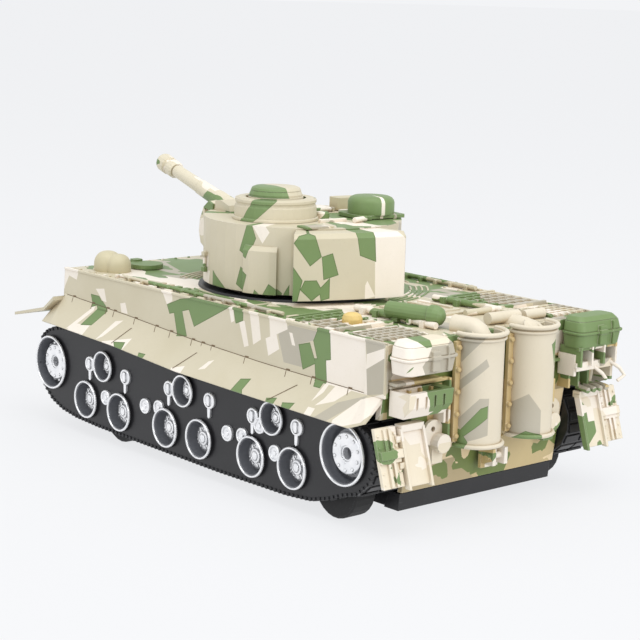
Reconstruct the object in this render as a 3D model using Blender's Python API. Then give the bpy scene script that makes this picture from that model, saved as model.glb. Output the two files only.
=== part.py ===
"""A toy radio-controlled tank: a camouflaged hull and turret on black running gear with plated wheels."""

import math

import bmesh
import bpy
import numpy as np
from mathutils import Matrix, Vector

# Sizes are in millimetres. +x is the tank's left, -y its front, and z = 0 the ground.
MM = 0.001
Y_MID = 75.675  # the middle of the whole length, which becomes y = 0

DECK_Z = 76.3
DECK_X = 63.0
SKIRT_X = 72.0
PANEL_X = 67.0
TRAY_X = 43.9
GAP = 0.35

TURRET_Y = 73.2
TURRET_YAW = -8.0
TURRET_R = 44.9
TURRET_Z0 = 79.1
TURRET_Z1 = 108.4
GUN_PITCH = 12.8
TRUNNION_Y = -37.0
TRUNNION_Z = 98.6
FLAP_Y = -8.4
FLAP_Z = 109.7

BIG_WHEELS = ((-29.9, 30.5), (180.1, 30.3))
ROAD_WHEELS = ((0.0, 17.9), (27.1, 17.0), (62.9, 17.0), (87.4, 17.0), (123.3, 17.0), (150.0, 17.9))
ROLLERS = ((13.9, 36.0), (75.4, 36.0), (136.2, 36.0))
PADDLES = ((2.9, 35.3), (31.4, 34.2), (64.9, 35.1), (93.9, 35.2), (123.6, 34.4), (151.8, 35.3))
CAPS = ((16.0, 21.7), (47.1, 23.8), (57.5, 25.0), (106.8, 23.6), (116.9, 24.5), (138.4, 21.7),
    (128.3, 31.3))

WHEEL_R = 13.0
REAR_AXLE = (168.0, 13.0)
FRONT_AXLE = (17.5, 13.0)
GEAR_M = 0.7
# Gear centres, as (y, z): pinion 8 teeth, compound 24 and 8, axle gear 16, all of one module.
AXLE_GAP = GEAR_M * (8 + 16) / 2 + 0.12
MOTOR_GAP = GEAR_M * (8 + 24) / 2 + 0.12
COMPOUND = (
    REAR_AXLE[0] - AXLE_GAP * math.cos(math.radians(35)),
    REAR_AXLE[1] + AXLE_GAP * math.sin(math.radians(35)),
)
MOTOR = (
    COMPOUND[0] - MOTOR_GAP * math.cos(math.radians(10)),
    COMPOUND[1] + MOTOR_GAP * math.sin(math.radians(10)),
)

COLOURS = {
    "camo_plastic": (0.62, 0.58, 0.45, 1.0),
    "black_plastic": (0.03, 0.03, 0.035, 1.0),
    "plated_plastic": (0.75, 0.76, 0.78, 1.0),
    "steel": (0.55, 0.56, 0.58, 1.0),
    "gear_nylon": (0.85, 0.85, 0.80, 1.0),
    "black_rubber": (0.02, 0.02, 0.02, 1.0),
    "circuit_green": (0.05, 0.25, 0.10, 1.0),
    "battery_wrap": (0.15, 0.25, 0.45, 1.0),
    "speaker_grey": (0.20, 0.20, 0.21, 1.0),
}


def clear_scene():
    for obj in list(bpy.data.objects):
        bpy.data.objects.remove(obj, do_unlink=True)


def solid(bm):
    """A temporary object, in millimetres, from a bmesh."""
    bmesh.ops.recalc_face_normals(bm, faces=bm.faces)
    mesh = bpy.data.meshes.new("work")
    bm.to_mesh(mesh)
    bm.free()
    obj = bpy.data.objects.new("work", mesh)
    bpy.context.scene.collection.objects.link(obj)
    return obj


def loft(sections):
    """Joins closed sections of equal length, in order, and caps both ends."""
    bm = bmesh.new()
    rings = [[bm.verts.new(point) for point in section] for section in sections]
    count = len(rings[0])
    for near, far in zip(rings, rings[1:]):
        for i in range(count):
            j = (i + 1) % count
            bm.faces.new((near[i], near[j], far[j], far[i]))
    bm.faces.new(rings[0])
    bm.faces.new(list(reversed(rings[-1])))
    return solid(bm)


def prism(points, axis, low, high):
    """A flat outline pushed along an axis. The outline holds the two other coordinates, in x, y, z order."""
    place = {
        "x": lambda p, q, h: (h, p, q),
        "y": lambda p, q, h: (p, h, q),
        "z": lambda p, q, h: (p, q, h),
    }[axis]
    return loft([[place(p, q, h) for p, q in points] for h in (low, high)])


def box(x0, x1, y0, y1, z0, z1):
    return prism(((x0, y0), (x1, y0), (x1, y1), (x0, y1)), "z", z0, z1)


def circle(centre, radius, count, start=0.0):
    return [
        (
            centre[0] + radius * math.cos(start + 2 * math.pi * i / count),
            centre[1] + radius * math.sin(start + 2 * math.pi * i / count),
        )
        for i in range(count)
    ]


def rounded(x0, x1, y0, y1, radius, steps=4):
    """The outline of a rectangle with round corners."""
    points = []
    corners = ((x1, y1, 0), (x0, y1, 90), (x0, y0, 180), (x1, y0, 270))
    for cx, cy, first in corners:
        mx = cx - radius if cx == x1 else cx + radius
        my = cy - radius if cy == y1 else cy + radius
        for i in range(steps + 1):
            a = math.radians(first + 90 * i / steps)
            points.append((mx + radius * math.cos(a), my + radius * math.sin(a)))
    return points


def rounded_rear(x0, x1, y0, y1, radius, steps=5):
    """A rectangle with its two rear corners round."""
    points = [(x0, y0), (x1, y0)]
    for cx, first in ((x1 - radius, 0), (x0 + radius, 90)):
        for i in range(steps + 1):
            a = math.radians(first + 90 * i / steps)
            points.append((cx + radius * math.cos(a), y1 - radius + radius * math.sin(a)))
    return points


def turned(profile, origin, axis, count=32):
    """A solid of revolution from (radius, height) pairs. A radius of 0 is one point on the axis."""
    bm = bmesh.new()
    turn = {
        "x": lambda r, h, a: (h, r * math.cos(a), r * math.sin(a)),
        "y": lambda r, h, a: (r * math.sin(a), h, r * math.cos(a)),
        "z": lambda r, h, a: (r * math.cos(a), r * math.sin(a), h),
    }[axis]
    rings = []
    for r, h in profile:
        steps = 1 if r == 0 else count
        ring = []
        for i in range(steps):
            p = turn(r, h, 2 * math.pi * i / count)
            ring.append(bm.verts.new([p[k] + origin[k] for k in range(3)]))
        rings.append(ring)
    pairs = list(zip(rings, rings[1:]))
    if profile[0][0] != 0:
        pairs.append((rings[-1], rings[0]))
    for near, far in pairs:
        for i in range(count):
            j = (i + 1) % count
            corners = [near[i % len(near)], near[j % len(near)], far[j % len(far)], far[i % len(far)]]
            distinct = list(dict.fromkeys(corners))
            if len(distinct) > 2:
                bm.faces.new(distinct)
    return solid(bm)


def drop(obj):
    mesh = obj.data
    bpy.data.objects.remove(obj, do_unlink=True)
    bpy.data.meshes.remove(mesh)


def combine(base, others, operation):
    for other in others:
        modifier = base.modifiers.new("combine", "BOOLEAN")
        modifier.operation = operation
        modifier.solver = "EXACT"
        modifier.object = other
        graph = bpy.context.evaluated_depsgraph_get()
        made = bpy.data.meshes.new_from_object(base.evaluated_get(graph))
        old = base.data
        base.modifiers.clear()
        base.data = made
        bpy.data.meshes.remove(old)
        drop(other)
    return base


def join(base, *others):
    return combine(base, others, "UNION")


def cut(base, *others):
    return combine(base, others, "DIFFERENCE")


def copy_of(obj):
    twin = bpy.data.objects.new("work", obj.data.copy())
    bpy.context.scene.collection.objects.link(twin)
    return twin


def moved(obj, matrix):
    obj.data.transform(matrix)
    if matrix.determinant() < 0:
        obj.data.flip_normals()
    obj.data.update()
    return obj


def mirrored(obj):
    return moved(obj, Matrix.Diagonal((-1, 1, 1, 1)))


def on_turret(obj):
    turn = Matrix.Rotation(math.radians(TURRET_YAW), 4, "Z")
    return moved(obj, Matrix.Translation((0, TURRET_Y, 0)) @ turn)


def on_gun(obj):
    """Raises a level gun part about the trunnions and turns it with the turret."""
    pivot = Matrix.Translation((0, TRUNNION_Y, TRUNNION_Z))
    pitch = Matrix.Rotation(math.radians(-GUN_PITCH), 4, "X")
    return on_turret(moved(obj, pivot @ pitch @ pivot.inverted()))


def turret_point(x, y, z):
    a = math.radians(TURRET_YAW)
    return (x * math.cos(a) - y * math.sin(a), TURRET_Y + x * math.sin(a) + y * math.cos(a), z)


def material(name):
    made = bpy.data.materials.get(name)
    if made is None:
        made = bpy.data.materials.new(name)
        made.use_nodes = True
        shader = made.node_tree.nodes["Principled BSDF"]
        shader.inputs["Base Color"].default_value = COLOURS[name]
        shader.inputs["Roughness"].default_value = 0.2 if name == "plated_plastic" else 0.45
        shader.inputs["Metallic"].default_value = 1.0 if name in ("plated_plastic", "steel") else 0.0
    return made


def finish(obj, name, slot, pivot=None, smooth=30.0):
    """Names the node, puts its origin on the pivot, scales to metres and shades round faces smooth."""
    points = np.array([v.co for v in obj.data.vertices])
    origin = Vector(pivot) if pivot else Vector((points.min(axis=0) + points.max(axis=0)) / 2)
    place = Vector((origin.x, origin.y - Y_MID, origin.z)) * MM
    obj.data.transform(Matrix.Scale(MM, 4) @ Matrix.Translation(-origin))
    obj.name = name
    obj.data.name = name
    obj.location = place
    obj.data.materials.clear()
    obj.data.materials.append(material(slot))
    limit = math.cos(math.radians(smooth))
    bm = bmesh.new()
    bm.from_mesh(obj.data)
    for face in bm.faces:
        face.smooth = True
        face.material_index = 0
    for edge in bm.edges:
        pair = edge.link_faces
        edge.smooth = len(pair) == 2 and pair[0].normal.dot(pair[1].normal) > limit
    bm.to_mesh(obj.data)
    bm.free()
    return obj


def gear_outline(centre, teeth, module, phase):
    """A gear with thin tapered teeth, so that a pair runs with some play."""
    pitch = 2 * math.pi / teeth
    radius = module * teeth / 2
    points = []
    for i in range(teeth):
        a = phase + i * pitch
        for r, share in ((radius - 1.2 * module, -0.29), (radius + 0.85 * module, -0.09),
                         (radius + 0.85 * module, 0.09), (radius - 1.2 * module, 0.29)):
            b = a + share * pitch
            points.append((centre[0] + r * math.cos(b), centre[1] + r * math.sin(b)))
    return points


# ---------------------------------------------------------------- hull


def notch_z(y):
    return float(np.interp(y, (-26, 26, 75, 124, 187, 196), (64.0, 61.4, 58.3, 56.4, 55.4, 54.9)))


def skirt_z(y):
    return float(np.interp(y, (-26, 26, 75, 124, 187, 196), (50.4, 48.3, 44.9, 43.8, 42.6, 46.0)))


def hull_section(y):
    zn = notch_z(y)
    zs = skirt_z(y)
    half = [(DECK_X, DECK_Z), (DECK_X, zn), (SKIRT_X, zs), (SKIRT_X - 1.4, zs), (DECK_X - 1.7, zn - 0.9)]
    half.append((DECK_X - 1.7, DECK_Z - 1.9))
    left = [(x, y, z) for x, z in half]
    right = [(-x, y, z) for x, z in reversed(half)]
    return left + right


def upper_hull():
    shell = loft([hull_section(y) for y in (-26, 26, 75, 124, 187, 195.6)])
    nose = (
        (-23.0, 76.0), (-26.6, 75.6), (-27.6, 62.5), (-44.0, 57.5), (-49.0, 46.0), (-38.5, 22.0),
        (-31.5, 13.0), (-29.0, 13.0), (-36.6, 23.0), (-46.8, 46.0), (-42.4, 55.8), (-25.2, 60.6),
        (-24.0, 74.0),
    )
    rear = ((187.6, 12.9), (190.0, 12.9), (198.2, 72.5), (197.4, 76.1), (194.4, 76.1), (195.0, 72.5))
    rear_wide = ((192.3, 46.0), (194.6, 46.0), (198.2, 72.5), (197.4, 76.1), (193.6, 76.1), (194.4, 72.5))
    front_wide = ((-23.4, 76.0), (-26.4, 75.8), (-27.4, 60.9), (-25.2, 60.4))
    join(
        shell,
        prism(nose, "x", -44.8, 44.8),
        prism(front_wide, "x", -62.8, 62.8),
        prism(rear, "x", -44.8, 44.8),
        prism(rear_wide, "x", -62.6, 62.6),
    )
    for sign in (1, -1):
        fender = ((-25.4, 63.2), (-34.0, 56.8), (-60.0, 50.6), (-60.0, 49.2), (-34.0, 55.2), (-25.6, 61.2))
        ends = sorted((sign * 42.0, sign * 70.0))
        guard = prism(fender, "x", ends[0], ends[1])
        outer = [(63.2, -25.2, 63.6), (71.9, -25.2, 50.45), (70.3, -35.0, 50.0), (64.2, -35.0, 56.0)]
        side = loft([[(sign * (x - d), y, z - d / 2) for x, y, z in outer] for d in (0.0, 1.5)])
        join(shell, guard, side)
    turret_hole = prism(circle((0, TURRET_Y), 31.2, 32), "z", 70, 82)
    cut(shell, turret_hole)
    # Screw posts reach down from the deck to the tray's corner posts.
    for x in (-30, 30):
        for y in (-14, 128):
            join(shell, prism(circle((x, y), 3.0, 8), "z", 44.6, 75.0))
    return finish(shell, "upper_hull_shell", "camo_plastic", (0, Y_MID, 0))


def tray():
    outline = ((-25.0, 5.4), (184.0, 5.4), (186.0, 44.0), (-33.2, 44.0), (-33.2, 30.0))
    inner = ((-23.0, 7.4), (182.0, 7.4), (184.0, 47.0), (-31.2, 47.0), (-31.2, 30.0))
    body = prism(outline, "x", -TRAY_X, TRAY_X)
    cut(body, prism(inner, "x", -TRAY_X + 1.8, TRAY_X - 1.8))
    lip = ((180.0, 5.0), (188.2, 5.0), (189.0, 12.3), (183.0, 12.3))
    join(body, prism(lip, "x", -44.6, 44.6))
    for x in (-30, 30):
        for y in (-14, 128):
            join(body, prism(circle((x, y), 3.4, 8), "z", 6.6, 44.2))
    wheels = []
    for y, z, r in ((*REAR_AXLE, 2.4), (*FRONT_AXLE, 1.9)):
        wheels.append(prism(circle((y, z), r, 14), "x", -50, 50))
    cut(body, *wheels)
    cut(body, box(-32.4, 32.4, 44.0, 114.0, 3.0, 12.0), box(-27.2, -21.8, 29.2, 39.8, 3.0, 12.0))
    # Ribs under the front axle and beside the gears.
    for sign in (1, -1):
        ends = sorted((sign * 12.0, sign * 14.0))
        rib = prism(((12.0, 6.6), (23.0, 6.6), (23.0, 16.5), (12.0, 16.5)), "x", ends[0], ends[1])
        join(body, cut(rib, prism(circle(FRONT_AXLE, 1.9, 12), "x", ends[0] - 1, ends[1] + 1)))
        for near, far, holes in (
            (25.6, 27.2, ((COMPOUND, 1.5, 10), (MOTOR, 2.4, 12))),
            (38.0, 39.6, ((COMPOUND, 1.5, 10), (REAR_AXLE, 2.4, 14))),
        ):
            ends = sorted((sign * near, sign * far))
            wall = prism(((136.0, 6.6), (176.0, 6.6), (176.0, 30.0), (136.0, 30.0)), "x", ends[0], ends[1])
            cut(wall, *[prism(circle(c, r, n), "x", ends[0] - 1, ends[1] + 1) for c, r, n in holes])
            join(body, wall)
        ends = sorted((sign * 32.4, sign * 37.6))
        cut(body, box(ends[0], ends[1], 160.0, 176.0, 6.2, 8.4))
    return finish(body, "chassis_tray", "black_plastic")


def hull_covers():
    door = prism(rounded(-32.0, 32.0, 44.4, 113.6, 1.5, 2), "z", 5.5, 7.3)
    lug = box(-4.0, 4.0, 111.0, 113.5, 6.8, 9.5)
    join(door, lug)
    cut(door, prism(circle((0, 50.0), 1.6, 10), "z", 4, 9))
    for i in range(5):
        cut(door, box(-20.0, 20.0, 66.0 + 8 * i, 68.0 + 8 * i, 5.0, 6.1))
    finish(door, "battery_door", "black_plastic")
    screw = turned(((0, 4.9), (2.6, 4.9), (2.6, 5.2), (1.2, 5.2), (1.2, 10.6), (0, 11.4)), (0, 50.0, 0),
        "z", 10)
    cut(screw, box(-2.0, 2.0, 49.6, 50.4, 4.5, 5.05))
    finish(screw, "battery_door_screw", "steel")
    knob = prism(rounded(-26.0, -23.0, 30.0, 35.0, 0.8, 2), "z", 4.4, 8.6)
    foot = box(-28.6, -20.4, 29.0, 36.0, 7.8, 9.6)
    join(knob, foot)
    finish(knob, "power_switch", "black_plastic", (-24.5, 32.5, 8.0))
    body = box(-29.4, -19.6, 27.0, 42.0, 10.1, 15.0)
    return finish(body, "switch_body", "steel")


PANEL = (
    (-28.0, 47.6), (-34.5, 46.0), (-39.5, 42.4), (-42.3, 37.0), (-42.7, 31.0), (-41.6, 24.0), (-37.6, 17.2),
    (-31.0, 12.0), (-22.0, 8.8), (-10.0, 7.0), (8.0, 6.1), (40.0, 5.6), (100.0, 4.9), (145.0, 5.3),
    (160.0, 6.4),
    (171.0, 9.4), (180.0, 12.9), (188.0, 15.0), (194.2, 20.4), (197.4, 27.4), (197.4, 34.0), (194.0, 40.6),
    (189.0, 42.9), (124.0, 44.1), (75.0, 45.2), (26.0, 48.5), (-10.0, 49.4), (-22.0, 48.9),
)


def inset(points, distance):
    """The outline moved inwards by a distance, each corner along its bisector."""
    area = sum(p[0] * q[1] - q[0] * p[1] for p, q in zip(points, points[1:] + points[:1]))
    turn = 1 if area > 0 else -1
    made = []
    for i, here in enumerate(points):
        before = Vector(points[i - 1])
        after = Vector(points[(i + 1) % len(points)])
        here = Vector(here)
        into = (here - before).normalized()
        out = (after - here).normalized()
        normal = Vector((-into.y - out.y, into.x + out.x)).normalized() * turn
        side = Vector((-into.y, into.x)) * turn
        made.append(tuple(here + normal * (distance / max(0.5, normal.dot(side)))))
    return tuple(made)


def track_panel():
    body = prism(PANEL, "x", 45.4, PANEL_X)
    cut(body, prism(inset(PANEL, 2.0), "x", 44.0, PANEL_X - 2.2))
    for centre in (REAR_AXLE, FRONT_AXLE):
        cut(body, prism(circle(centre, WHEEL_R + 0.9, 24), "x", 48.6, 61.6))
    holes = []
    for centre, radius in (
        [(c, 4.4) for c in BIG_WHEELS]
        + [(c, 3.4) for c in ROAD_WHEELS + ROLLERS]
        + [(c, 1.8) for c in PADDLES + CAPS]
    ):
        count, turn = (4, 0.3) if radius < 2.5 else (6, 0.2) if radius < 4 else (14, 0.0)
        holes.append(prism(circle(centre, radius, count, turn), "x", PANEL_X - 4, PANEL_X + 2))
    cut(body, *holes)
    return body


def wheel_disc(centre, radius, count, front):
    """A dished disc: a bright rim, a deep step and a hub. The back is flat and stands off the panel."""
    y, z = centre
    back = PANEL_X + 0.3
    hub = radius * 0.56
    profile = (
        (0, back), (radius, back), (radius, front), (radius - 1.1, front), (hub + 0.6, back + 0.8),
        (hub, front - 0.5), (0, front - 0.3),
    )
    return turned(profile, (0, y, z), "x", count)


def wheel_insert():
    """The plated trim of one side: a hidden web with the road wheels, rollers and small fittings on it."""
    web = prism(
        ((-6.0, 13.5), (10.0, 10.6), (40.0, 9.8), (150.0, 9.8), (157.0, 14.0), (157.0, 39.5), (-4.0, 41.0)),
        "x", 62.4, 64.2,
    )
    parts = []
    for centre in ROAD_WHEELS:
        parts.append(wheel_disc(centre, 8.9, 16, 69.3))
        parts.append(prism(circle(centre, 2.9, 6, 0.2), "x", 63.4, PANEL_X + 0.9))
    for centre in ROLLERS:
        parts.append(wheel_disc(centre, 7.25, 14, 69.2))
        parts.append(prism(circle(centre, 2.9, 6, 0.2), "x", 63.4, PANEL_X + 0.9))
    for y, z in PADDLES:
        low = math.radians(252)
        top = circle((y, z), 3.5, 12, low)[1:-1]
        top += [(y - 0.8, z - 4.0), (y - 1.0, z - 7.6), (y + 1.0, z - 7.6), (y + 0.8, z - 4.0)]
        parts.append(prism(top, "x", PANEL_X + 0.3, PANEL_X + 1.4))
        parts.append(prism(circle((y, z), 1.3, 4, 0.3), "x", 63.4, PANEL_X + 0.9))
    for y, z in CAPS:
        parts.append(prism(circle((y, z), 3.5, 10, 0.1), "x", PANEL_X + 0.3, PANEL_X + 1.3))
        parts.append(prism(circle((y, z), 1.3, 4, 0.3), "x", 63.4, PANEL_X + 0.9))
    return join(web, *parts)


def big_disc(centre):
    y, z = centre
    disc = wheel_disc(centre, 12.9, 24, 69.4)
    pin = prism(circle(centre, 3.9, 12, 0.11), "x", 63.0, PANEL_X + 1.0)
    join(disc, pin)
    return cut(disc, prism(circle(centre, 2.0, 10, 0.07), "x", 67.9, 71.0))


def running_gear():
    panel = track_panel()
    insert = wheel_insert()
    front = big_disc(BIG_WHEELS[0])
    rear = big_disc(BIG_WHEELS[1])
    for maker, name, slot in (
        (panel, "track_panel", "black_plastic"),
        (insert, "wheel_insert", "plated_plastic"),
        (front, "sprocket_disc", "plated_plastic"),
        (rear, "idler_disc", "plated_plastic"),
    ):
        twin = mirrored(copy_of(maker))
        finish(maker, name + "_left", slot)
        finish(twin, name + "_right", slot)


def pair(obj, name, slot, pivot=None):
    twin = mirrored(copy_of(obj))
    other = (-pivot[0], pivot[1], pivot[2]) if pivot else None
    finish(obj, name + "_left", slot, pivot)
    finish(twin, name + "_right", slot, other)


def drive_line():
    y, z = REAR_AXLE
    wheel = turned(
        ((0, 49.6), (WHEEL_R - 0.8, 49.6), (WHEEL_R, 50.4), (WHEEL_R, 59.8), (WHEEL_R - 0.8, 60.6),
        (0, 60.6)),
        (0, y, z), "x", 26,
    )
    axle = prism(circle(REAR_AXLE, 2.0, 12, 0.09), "x", 33.0, 51.0)
    axle_gear = prism(gear_outline(REAR_AXLE, 16, GEAR_M, 0.0), "x", 33.2, 36.8)
    join(wheel, axle, axle_gear)
    pair(wheel, "drive_wheel", "black_rubber", (55.0, y, z))
    # The compound gear's small teeth meet the axle gear, and its large teeth meet the pinion.
    small_phase = facing_phase(REAR_AXLE, 16, 0.0, COMPOUND, 8)
    big_phase = small_phase
    compound = prism(gear_outline(COMPOUND, 8, GEAR_M, small_phase), "x", 32.4, 37.2)
    join(
        compound,
        prism(gear_outline(COMPOUND, 24, GEAR_M, big_phase), "x", 29.6, 32.6),
        prism(circle(COMPOUND, 1.1, 12, 0.13), "x", 24.8, 40.4),
    )
    pair(compound, "compound_gear", "gear_nylon", (36.0, *COMPOUND))
    pinion = prism(gear_outline(MOTOR, 8, GEAR_M, facing_phase(COMPOUND, 24, big_phase, MOTOR, 8)), "x",
        29.2, 33.0)
    cut(pinion, prism(circle(MOTOR, 1.05, 8, 0.05), "x", 28.0, 34.0))
    pair(pinion, "motor_pinion", "gear_nylon", (31.0, *MOTOR))
    can = prism(circle(MOTOR, 9.6, 20), "x", 1.5, 23.0)
    shaft = prism(circle(MOTOR, 0.7, 8, 0.05), "x", 22.0, 32.4)
    boss = prism(circle(MOTOR, 1.9, 12, 0.11), "x", 22.0, 26.8)
    join(can, boss, shaft)
    cut(can, box(0.0, 30.0, MOTOR[0] - 12, MOTOR[0] + 12, MOTOR[1] + 7.6, MOTOR[1] + 12))
    pair(can, "drive_motor", "steel")
    y, z = FRONT_AXLE
    rod = prism(circle(FRONT_AXLE, 1.5, 16), "x", -58.0, 58.0)
    finish(rod, "front_axle", "steel")
    front = turned(
        ((1.85, 49.6), (WHEEL_R - 0.8, 49.6), (WHEEL_R, 50.4), (WHEEL_R, 59.8), (WHEEL_R - 0.8, 60.6),
        (1.85, 60.6)),
        (0, y, z), "x", 24,
    )
    pair(front, "front_wheel", "black_rubber", (55.0, y, z))


def facing_phase(centre, teeth, phase, other, other_teeth):
    """The phase that puts a gap of the second gear against a tooth of the first."""
    line = math.atan2(other[1] - centre[1], other[0] - centre[0])
    pitch = 2 * math.pi / teeth
    ahead = ((line - phase) / pitch) % 1.0
    other_pitch = 2 * math.pi / other_teeth
    return line + math.pi + (0.5 + ahead) * other_pitch


def electrics():
    cells = None
    for i in range(4):
        cell = prism(circle((-21.6 + 14.4 * i, 17.6), 7.1, 12), "y", 52.0, 102.0)
        cells = cell if cells is None else join(cells, cell)
    join(cells, box(-24.0, 24.0, 54.0, 100.0, 12.0, 23.0))
    finish(cells, "battery_pack", "battery_wrap")
    board = box(-24.0, 24.0, 46.0, 88.0, 34.0, 35.6)
    join(
        board,
        box(-12.0, -2.0, 60.0, 74.0, 35.0, 38.0),
        box(6.0, 12.0, 52.0, 58.0, 35.0, 41.0),
        prism(circle((16.0, 78.0), 3.0, 16), "z", 35.0, 45.0),
        box(-20.0, -14.0, 80.0, 86.0, 35.0, 40.0),
    )
    finish(board, "circuit_board", "circuit_green")
    horn = turned(
        ((0, 28.0), (6.0, 28.0), (6.0, 31.0), (13.0, 36.0), (14.5, 36.0), (14.5, 38.0), (12.6, 38.0),
        (5.0, 33.6), (0, 33.6)),
        (0, 6.0, 0), "z", 16,
    )
    finish(horn, "speaker", "speaker_grey")


# ---------------------------------------------------------------- rear and deck fittings


def bent_strip(cx, cy, outer, inner, half_angle, steps=14):
    """A strip bent round the rear of a centre, seen from above."""
    angles = [math.radians(half_angle * (2 * i / steps - 1)) for i in range(steps + 1)]
    points = [(cx + outer * math.sin(a), cy + outer * math.cos(a)) for a in angles]
    points += [(cx + inner * math.sin(a), cy + inner * math.cos(a)) for a in reversed(angles)]
    return points


def rear_fittings():
    # Exhaust shrouds: a bent plate, open towards the hull, with rolled rims.
    cx = 15.2
    cy = 200.8
    shroud = prism(bent_strip(cx, cy, 10.2, 9.2, 96.0), "z", 31.4, 77.2)
    for low, high in ((30.9, 32.9), (75.3, 77.9)):
        join(shroud, prism(bent_strip(cx, cy, 11.0, 9.6, 93.0), "z", low, high))
    for sign in (1, -1):
        x = cx + sign * 9.05
        ends = sorted((x, x + sign * 3.75))
        join(shroud, box(ends[0], ends[1], 198.9, 200.7, 33.6, 74.4))
    pair(shroud, "exhaust_shroud", "camo_plastic")
    pipe = prism(circle((cx, cy + 3.4), 5.2, 16), "z", 31.6, 70.0)
    bend = loft([
        [(cx + 5.0 * math.cos(t), cy + 3.4 + 5.0 * math.sin(t) * c - o, 70.0 + h + 5.0 * math.sin(t) * s)
         for t in [2 * math.pi * i / 16 for i in range(16)]]
        for c, s, o, h in ((1.0, 0.0, 0.0, -2.0), (0.95, -0.30, 0.4, 3.0), (0.82, -0.57, 1.6, 6.2))
    ])
    join(pipe, bend)
    cut(pipe, prism(circle((cx, cy + 2.0), 3.3, 12), "z", 62.0, 84.0))
    pair(pipe, "exhaust_pipe", "camo_plastic")
    # Air cleaners: a rounded box with a lid that overhangs it a little.
    cleaner = prism(rounded_rear(36.4, 62.6, 198.9, 208.6, 5.2), "z", 66.2, 72.6)
    lid = prism(rounded_rear(35.6, 63.4, 198.7, 209.4, 5.8), "z", 71.8, 73.2)
    cap = loft([
        [(x, y, z) for x, y in rounded_rear(36.2 + d, 62.8 - d, 199.0 + d * 0.2, 208.9 - d, 5.2 - d * 0.4)]
        for d, z in ((0.0, 72.6), (0.3, 76.2), (1.6, 77.9))
    ])
    plinth = prism(rounded_rear(36.0, 63.0, 198.8, 209.0, 5.4), "z", 65.6, 66.8)
    join(cleaner, lid, cap, plinth)
    pair(cleaner, "air_cleaner", "camo_plastic")
    # Lower left: a slotted box whose rear face leans in towards its foot.
    body = loft([
        [(x, y, z) for x, y in ((36.5 + a, 197.6), (60.5, 197.6), (60.5, 208.6 - b), (36.5 + a, 208.6 - b))]
        for a, b, z in ((2.0, 3.0, 48.2), (0.5, 0.2, 52.5), (0.0, 0.0, 58.4))
    ])
    cut(body, box(40.0, 58.6, 199.4, 206.4, 56.2, 60.0))
    for x in (41.0, 45.8, 50.6, 55.4):
        cut(body, box(x, x + 1.1, 207.6, 210.0, 50.6, 56.6))
    finish(body, "slotted_box_left", "camo_plastic")
    # Lower right: an open shelf on two brackets.
    shelf = box(-61.5, -36.5, 197.6, 207.6, 57.2, 59.2)
    join(
        shelf,
        box(-61.5, -60.0, 197.6, 206.6, 49.5, 64.8),
        box(-38.0, -36.5, 197.6, 206.6, 53.5, 62.6),
        box(-50.0, -48.6, 197.6, 205.6, 58.4, 64.4),
        box(-61.0, -37.0, 206.2, 207.6, 55.6, 58.0),
    )
    finish(shelf, "rear_shelf_right", "camo_plastic")
    # Mudguards behind the tracks: an inner flat leaf and an outer hinged leaf.
    inner = loft([
        [(x, y + o, z) for x, y in ((45.6, 0), (58.6, 0), (58.6, 1.5), (45.6, 1.5))]
        for o, z in ((199.6, 43.0), (206.2, 21.6))
    ])
    for x in (45.6, 57.6):
        join(inner, loft([
            [(x, o, z), (x + 1.2, o, z), (x + 1.2, o + 2.6, z), (x, o + 2.6, z)]
            for o, z in ((199.8, 43.6), (206.6, 20.8))
        ]))
    mount = box(46.0, 58.2, 198.6, 202.4, 42.2, 45.0)
    outer = loft([
        [(x, y + o, z) for x, y in ((59.6, 0), (70.7, 0), (70.7, 1.5), (59.6, 1.5))]
        for o, z in ((198.8, 44.6), (205.6, 22.2))
    ])
    for x in (62.9, 65.6):
        join(outer, loft([
            [(x, o, z), (x + 1.3, o, z), (x + 1.3, o + 2.3, z), (x, o + 2.3, z)]
            for o, z in ((199.0, 44.2), (205.7, 22.8))
        ]))
    strap = loft([
        [(x, o, z), (x + w, o, z), (x + w, o + 2.9, z), (x, o + 2.9, z)]
        for x, w, o, z in ((57.8, 12.4, 201.4, 36.4), (57.8, 12.4, 202.4, 33.2))
    ])
    join(inner, mount)
    join(inner, strap)
    join(inner, outer)
    pair(inner, "rear_mudguard", "camo_plastic")
    # Tow shackles and the centre bracket on the lower rear plate.
    shackle = prism(circle((34.8, 37.6), 5.4, 14), "y", 195.2, 196.8)
    ear = prism(circle((32.6, 33.6), 3.9, 14), "y", 196.2, 200.8)
    join(shackle, ear)
    cut(shackle, prism(circle((35.2, 39.2), 1.1, 10), "y", 194.0, 199.0))
    foot = box(30.0, 36.0, 193.9, 197.4, 25.0, 33.0)
    join(shackle, foot)
    pair(shackle, "tow_shackle", "camo_plastic")
    tow = box(-5.0, 5.0, 193.4, 195.0, 18.0, 30.0)
    join(
        tow,
        box(-4.4, -2.4, 194.0, 201.0, 20.0, 27.0),
        box(2.4, 4.4, 194.0, 201.0, 20.0, 27.0),
        prism(circle((198.4, 23.6), 1.3, 12), "x", -5.2, 5.2),
    )
    finish(tow, "tow_bracket", "camo_plastic")


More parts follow.
